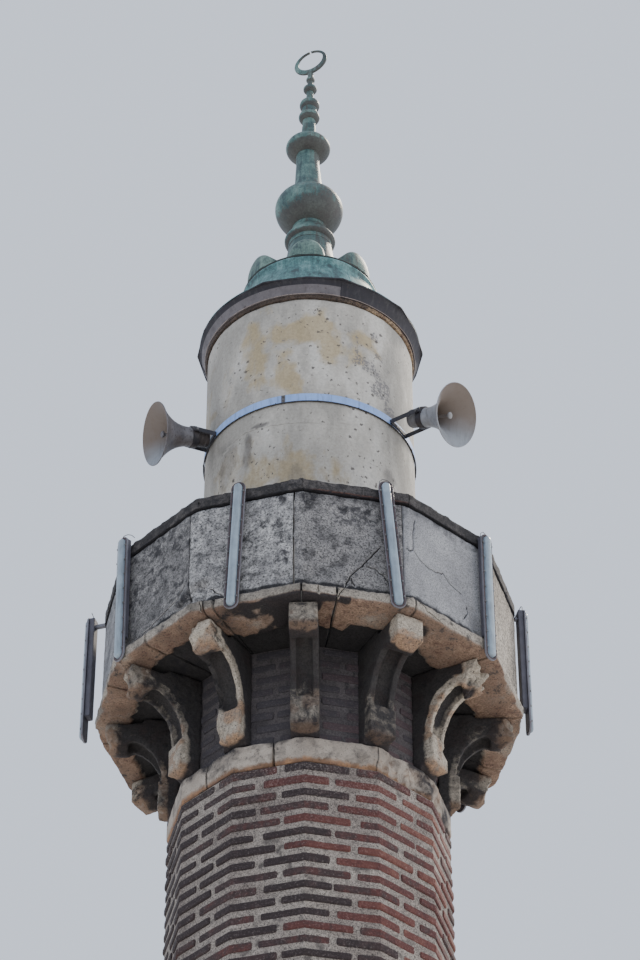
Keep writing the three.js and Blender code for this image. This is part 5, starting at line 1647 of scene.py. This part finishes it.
ring_outline = [
    (EAVE_INSIDE, DRUM_TOP + 0.001), (0.908, DRUM_TOP + 0.001), (0.911, DRUM_TOP + 0.006),
    (0.9115, DRUM_TOP + 0.02), (0.909, DRUM_TOP + 0.024), (0.911, DRUM_TOP + 0.028),
    (0.911, EAVE_RING_TOP), (EAVE_INSIDE, EAVE_RING_TOP)]
eave_ring = spin(ring_outline, 180, peeling_pine, bend=ring_bend)
mark(eave_ring, "stain", lambda p: (
    between(azimuth_of(p), 12, 40) * between(110 - azimuth_of(p), 0, 20) * (0.3 + cloud(p, 6))))
stand("eave_ring_board", eave_ring, "eave_timber", "eave_ring")
foot = EAVE_RING_TOP + 0.0003
eave_outline = [
    (EAVE_INSIDE, foot), (0.922, foot), (0.9245, foot + 0.004), (0.926, foot + 0.012),
    (0.93, foot + 0.028), (0.934, foot + 0.042), (0.942, foot + 0.064), (0.95, foot + 0.084),
    (0.96, foot + 0.106), (ROOF_FOOT, LIP_BOTTOM - 0.004), (ROOF_FOOT + 0.0035, LIP_BOTTOM),
    (ROOF_FOOT + 0.0085, LIP_BOTTOM - 0.002), (ROOF_FOOT + 0.01, LIP_BOTTOM + 0.003),
    (ROOF_FOOT + 0.01, LIP_BOTTOM + 0.01), (ROOF_FOOT + 0.009, LIP_TOP - 0.001), (ROOF_FOOT, LIP_TOP),
    (EAVE_INSIDE, LIP_TOP)]
eave = spin(eave_outline, 240, eave_iron, bend=eave_bend)
eave.materials.append(patch_and_lip_shade_iron)
eave.materials.append(edge_highlight)
# The dark sheets run over all of the lip, partly as painted shade, and down to the ring between these
# azimuths
DARK_FROM = foot + 0.09
DARK_SHEETS = [(18, 150), (-160, -120)]
for face in eave.polygons:
    dark = face.center.z > DARK_FROM or any(a < azimuth_of(face.center) < b for a, b in DARK_SHEETS)
    face.material_index = 1 if dark else 0
    # The lowest faces of the sheet carry the pale painted highlight
    if face.center.z < foot + 0.005 and Vector(face.center.xy).length > 0.91:
        face.material_index = 2
stand("eave_sheet", eave, "eave_iron", "eave")
# The upright laps where one iron sheet folds over the next
lap_build = bmesh.new()
lap_line = [
    (0.9235, foot + 0.002), (0.936, foot + 0.042), (0.952, foot + 0.084), (0.973, LIP_BOTTOM - 0.004)]
for azimuth in (18.6, -96, 150, -160):
    turn = Matrix.Rotation(math.radians(azimuth), 4, "Z")
    skin(lap_build, [[turn @ Vector((side * 0.007, -(reach + out), z)) for side, out in (
        (-1, -0.002), (-1, 0.0035), (1, 0.0035), (1, -0.002))] for reach, z in lap_line])
stand("eave_laps", mesh_of(lap_build, patch_and_lip_shade_iron), "eave_iron")

# The copper roof
# A bell of copper sheet, beaten to shape and seamed, with seven round-headed lobes standing on its
# ring line. The copper is green with patina where rain runs, and brown and dark where it doesn't. Above
# the lobes the bell is painted darker and browner, as shade.
RING_LINE = 21.817
ROOF_TOP = 22.46
LOBES = 7
LOBE_TURN = -1.5
LOBE_REACH = 0.58
LOBE_HALF_WIDTH = 0.165
LOBE_HEIGHT = 0.235
# The height above which the bell is painted darker, as shade behind the lobes
SHADED_FROM = 21.87


def copper_finish(name, green, pale, brown, brown_cover):
    """Patinated copper: green and blue-green in runs, brown under the curves and in patches."""
    material, add = new_finish(name)
    place = add("TexCoord")
    at = place.outputs["Object"]
    drawn = add("Mapping", {"Vector": at, "Scale": (22, 22, 1.6)})
    runs = add("TexNoise", {"Vector": drawn, "Scale": 1, "Detail": 7, "Roughness": 0.7})
    clouds = add("TexNoise", {"Vector": at, "Scale": 7, "Detail": 9, "Roughness": 0.74})
    fine = add("TexNoise", {"Vector": at, "Scale": 60, "Detail": 6, "Roughness": 0.75})
    both = add("Math", {0: runs, 1: 0.6, 2: clouds}, operation="MULTIPLY_ADD")
    patina = add("ValToRGB", {"Fac": both}, stops=[(0.66, "2f4a4d"), (0.96, pale), (0.79, green)])
    under = add("SeparateXYZ", {0: place.outputs["Normal"]}).outputs["Z"]
    sheltered = add("MapRange", {
        "Value": under, "From Min": -0.2, "From Max": -0.85, "To Max": 0.35})
    streaked = add("Math", {0: runs, 1: 0.7, 2: sheltered}, operation="MULTIPLY_ADD")
    with_fine = add("Math", {0: fine, 1: 0.5, 2: streaked}, operation="MULTIPLY_ADD")
    across = add("SeparateXYZ", {0: at}).outputs["X"]
    sunny_side = add("MapRange", {
        "Value": across, "From Min": -0.16, "From Max": 0.16, "To Min": -0.09, "To Max": 0.09})
    uneven = add("Math", {0: with_fine, 1: sunny_side}, operation="ADD")
    browned = add("MapRange", {
        "Value": uneven, "From Min": 0.76 - brown_cover, "From Max": 0.86 - brown_cover,
        "To Max": 0.86})
    body = add("MixRGB", {"Fac": browned, "Color1": patina, "Color2": paint(brown)})
    speck = add("ValToRGB", {"Fac": fine}, stops=[(0.3, "808080"), (0.6, "ffffff")])
    speckled = add("MixRGB", {"Fac": 0.7, "Color1": body, "Color2": speck}, blend_type="MULTIPLY")
    end_finish(add, speckled, 0.52, both, 0.35, 0.003)
    return material


def eased(points, steps):
    """A smooth line through points, each a (reach, height)."""
    kept = [Vector(p) for p in points]
    kept = [kept[0] * 2 - kept[1], *kept, kept[-1] * 2 - kept[-2]]
    made = []
    for a, b, c, d in zip(kept, kept[1:], kept[2:], kept[3:]):
        for i in range(steps):
            t = i / steps
            made.append(tuple(0.5 * (2 * b + (c - a) * t + (2 * a - 5 * b + 4 * c - d) * t * t
                                     + (3 * b - a - 3 * c + d) * t ** 3)))
    return made + [tuple(points[-1])]


# Copper sheet with a full patina: blue-green, streaked pale
roof_copper = copper_finish("patinated copper sheet", "4c7a7a", "7ba2a1", "45433e", -0.04)
# The lobes' copper is duller and greener, speckled brown
lobe_copper = copper_finish("speckled green copper", "5d786f", "829e92", "45403a", 0.08)
# Lead solder and dirt in the seam under the lobes, painted black also as the lobes' shadow
seam_dirt_and_shadow = copper_finish("solder seam, blackened by dirt and painted shadow", "2e3836", "3f4d4a", "2b2826", 0.1)
# Between the lobes and the first bulb the copper is painted as shade: dark, brown and streaked
shade_painted_copper = copper_finish("copper painted darker for shade", "44605e", "64827d", "3b3533", 0.16)
roof_foot = LIP_TOP + 0.0003
skirt_line = eased([(ROOF_FOOT, roof_foot + 0.01), (0.868, roof_foot + 0.06), (0.755, roof_foot + 0.182),
                    (0.675, roof_foot + 0.325), (0.609, roof_foot + 0.5)], 5)
ring_bead = [
    (0.6, 21.75), (0.606, 21.765), (0.609, 21.778), (0.607, 21.79), (0.6, 21.8), (0.59, 21.805),
    (0.578, 21.84), (0.56, 21.861)]
bell_points = eased([(0.545, 21.862), (0.515, 21.868), (0.45, 21.9), (0.366, 21.983), (0.296, 22.084),
                     (0.247, 22.195), (0.215, 22.324), (0.197, 22.452)], 5)
roof_inside = [(0.15, 22.37), (0.25, 22.03), (0.33, 21.91), (0.43, 21.82), (0.5, 21.75), (0.56, 21.59),
               (0.69, 21.38), (0.73, 21.255), (0.73, roof_foot)]
roof_outline = (
    [(ROOF_FOOT - 0.003, roof_foot), (ROOF_FOOT, roof_foot + 0.004)] + skirt_line + ring_bead + bell_points
    + [(0.195, ROOF_TOP), (0.12, ROOF_TOP), (0.12, ROOF_TOP - 0.03)] + roof_inside)


def beaten(azimuth, reach, height):
    """Leaves the copper as uneven as the hammer did."""
    bearing = math.radians(azimuth)
    return reach + 0.003 * noise.noise(Vector((math.sin(bearing) * 5, math.cos(bearing) * 5, height * 5)))


roof = spin(roof_outline, 120, roof_copper, bend=beaten)
roof.materials.append(shade_painted_copper)
for face in roof.polygons:
    faces_out = face.normal.xy.dot(face.center.xy) > 0
    face.material_index = 1 if face.center.z > SHADED_FROM and faces_out else 0
stand("roof_sheet", roof, "copper", "roof_bell")

# A lobe from its back to the middle of its face: share of the outline, and how far it stands out
LOBE_STEPS = [
    (1, 0.2), (1, LOBE_REACH - 0.05), (0.985, LOBE_REACH - 0.032), (0.95, LOBE_REACH - 0.016),
    (0.88, LOBE_REACH), (0.76, LOBE_REACH + 0.012), (0.58, LOBE_REACH + 0.021), (0.3, LOBE_REACH + 0.026)]
LOBE_POINTS = 24
lobe_build = bmesh.new()
skin(lobe_build, [[(
    LOBE_HALF_WIDTH * math.cos(math.pi * i / LOBE_POINTS) * share, -reach,
    RING_LINE + LOBE_HEIGHT * math.sin(math.pi * i / LOBE_POINTS) * share + 0.0005)
    for i in range(LOBE_POINTS + 1)] for share, reach in LOBE_STEPS])
lobes = grow(mesh_of(lobe_build, lobe_copper), [(round_tower, {
    "Count": LOBES, "Turn": math.radians(LOBE_TURN), "Finish": lobe_copper})])
lobes.shade_smooth()
lobes.set_sharp_from_angle(angle=math.radians(35))
stand("roof_lobes", lobes, "copper")
# The soldered seam that the lobes stand on, nearly black: dirt, and painted shadow under the lobes
seam_ring = [
    (0.57, 21.801), (0.602, 21.803), (0.606, 21.808), (0.606, 21.813), (0.602, 21.817), (0.57, 21.819)]
stand("roof_ring_seam", spin(seam_ring, 96, seam_dirt_and_shadow), "copper")

seam_build = bmesh.new()
skin(seam_build, [[(side * half, -(reach + out), height) for side, half, out in (
    (-1, 0.01, -0.004), (-1, 0.006, 0.0035), (1, 0.006, 0.0035), (1, 0.01, -0.004))]
    for reach, height in skirt_line[1:]])
seams = grow(mesh_of(seam_build, roof_copper), [(round_tower, {
    "Count": 14, "Turn": math.radians(9), "Finish": roof_copper})])
stand("roof_seams", seams, "copper")

# The finial
# Spun copper bulbs threaded on one iron rod, which has bent at its middle,
# and the nearly closed crescent. The bulbs have gone brown underneath, and
# the necks between them are the bluest part of the whole roof.
FINIAL_SPLIT = 23.598
FINIAL_TOP = 24.78
LOWER_LEAN = -0.021
UPPER_LEAN = 0.0225
# Spun copper, brown and speckled where the rain doesn't wash it
bulb_copper = copper_finish("spun patinated copper", "53736f", "809d96", "403936", 0.17)


def bulb(radius, centre, down, up, foot, head, steps=12):
    """A bulb's half outline from its foot to its head, each a reach where it meets the next piece."""
    low = math.asin(foot / radius) - math.pi / 2
    high = math.pi / 2 - math.asin(head / radius)
    angles = [low + (high - low) * i / steps for i in range(steps + 1)]
    return [(radius * math.cos(a), centre + (down if a < 0 else up) * math.sin(a)) for a in angles]


def leaning(mesh, foot, lean, start):
    """Moves each level sideways with its height over the foot."""
    for vertex in mesh.vertices:
        vertex.co.x += start + lean * (vertex.co.z - foot)
    return mesh


lower_line = (
    [(0, 0.0003), (0.194, 0.0003), (0.198, 0.004)] + bulb(0.231, 0.092, 0.088, 0.088, 0.198, 0.187)
    + [(0.18, 0.186), (0.172, 0.196), (0.169, 0.207), (0.158, 0.216)]
    + bulb(0.311, 0.494, 0.278, 0.222, 0.157, 0.182, 20)
    + eased([(0.172, 0.684), (0.147, 0.731), (0.131, 0.795), (0.123, 0.858), (0.117, 0.957), (0.11, 1.06),
             (0.108, FINIAL_SPLIT - ROOF_TOP)], 4) + [(0, FINIAL_SPLIT - ROOF_TOP)])
upper_line = (
    [(0, 0.0003), (0.107, 0.0003), (0.108, 0.03)] + bulb(0.207, 0.166, 0.124, 0.124, 0.106, 0.076, 18)
    + [(0.066, 0.294), (0.064, 0.359), (0.0655, 0.4), (0.064, 0.449), (0.058, 0.5), (0.062, 0.525)]
    + bulb(0.099, 0.588, 0.072, 0.072, 0.062, 0.068) + bulb(0.094, 0.75, 0.078, 0.078, 0.07, 0.035)
    + [(0.032, 0.835), (0.035, 0.86), (0.032, 0.91)] + bulb(0.065, 0.974, 0.048, 0.048, 0.033, 0.031)
    + [(0.027, 1.03), (0.027, 1.06)] + bulb(0.042, 1.105, 0.039, 0.039, 0.027, 0.029)
    + [(0.027, 1.15), (0.029, FINIAL_TOP - FINIAL_SPLIT), (0, FINIAL_TOP - FINIAL_SPLIT)])
lower_finial = spin([(r, ROOF_TOP + z) for r, z in lower_line], 72, bulb_copper)
upper_finial = spin([(r, FINIAL_SPLIT + z) for r, z in upper_line], 56, bulb_copper)
bend_x = LOWER_LEAN * (FINIAL_SPLIT - ROOF_TOP)
lower_finial = leaning(lower_finial, ROOF_TOP, LOWER_LEAN, 0)
upper_finial = leaning(upper_finial, FINIAL_SPLIT, UPPER_LEAN, bend_x)
stand("finial_lower_bulbs", lower_finial, "copper", "finial_lower")
stand("finial_upper_bulbs", upper_finial, "copper", "finial_upper")

CRESCENT_RADIUS = 0.17
CRESCENT_HOLE = 0.13
CRESCENT_RISE = 0.027
CRESCENT_HALF_THICKNESS = 0.013
CRESCENT_TURN = math.radians(-25)
CRESCENT_SQUASH = 0.88
CRESCENT_GAP = 0.05
CRESCENT_STEPS = 64
NECK_HEIGHT = 0.04
neck_line = [
    (0, 0), (0.026, 0), (0.0265, 0.006), (0.021, 0.014), (0.023, 0.03), (0.018, 0.046), (0, 0.048)]


def squarish(value):
    """Rounds a circle's sine or cosine out towards a square's."""
    return math.copysign(abs(value) ** 0.5, value)


crescent_rows = []
for i in range(CRESCENT_STEPS + 1):
    angle = math.pi / 2 + CRESCENT_GAP + (2 * math.pi - 2 * CRESCENT_GAP) * i / CRESCENT_STEPS
    spoke = Vector((math.cos(angle), math.sin(angle)))
    outer, inner = spoke * CRESCENT_RADIUS, spoke * CRESCENT_HOLE + Vector((0, CRESCENT_RISE))
    middle, half_width = (outer + inner) / 2, (outer - inner) / 2
    crescent_rows.append([])
    for around in (math.pi * j / 8 for j in range(16)):
        flat = middle + half_width * squarish(math.cos(around))
        crescent_rows[-1].append((
            flat.x, CRESCENT_HALF_THICKNESS * squarish(math.sin(around)),
            (flat.y + CRESCENT_RADIUS - 0.004) * CRESCENT_SQUASH + NECK_HEIGHT / 2))
crescent_build = bmesh.new()
skin(crescent_build, crescent_rows)
crescent = mesh_of(crescent_build, bulb_copper)
crescent.transform(Matrix.Rotation(CRESCENT_TURN, 4, "Z"))
neck = spin(neck_line, 24, bulb_copper)
both = bmesh.new()
both.from_mesh(crescent)
both.from_mesh(neck)
tip = bend_x + UPPER_LEAN * (FINIAL_TOP - FINIAL_SPLIT)
topmost = mesh_of(both, bulb_copper)
topmost.transform(Matrix.Translation((tip, 0, FINIAL_TOP + 0.0003)))
topmost.shade_smooth()
stand("crescent_and_neck", topmost, "copper", "crescent")
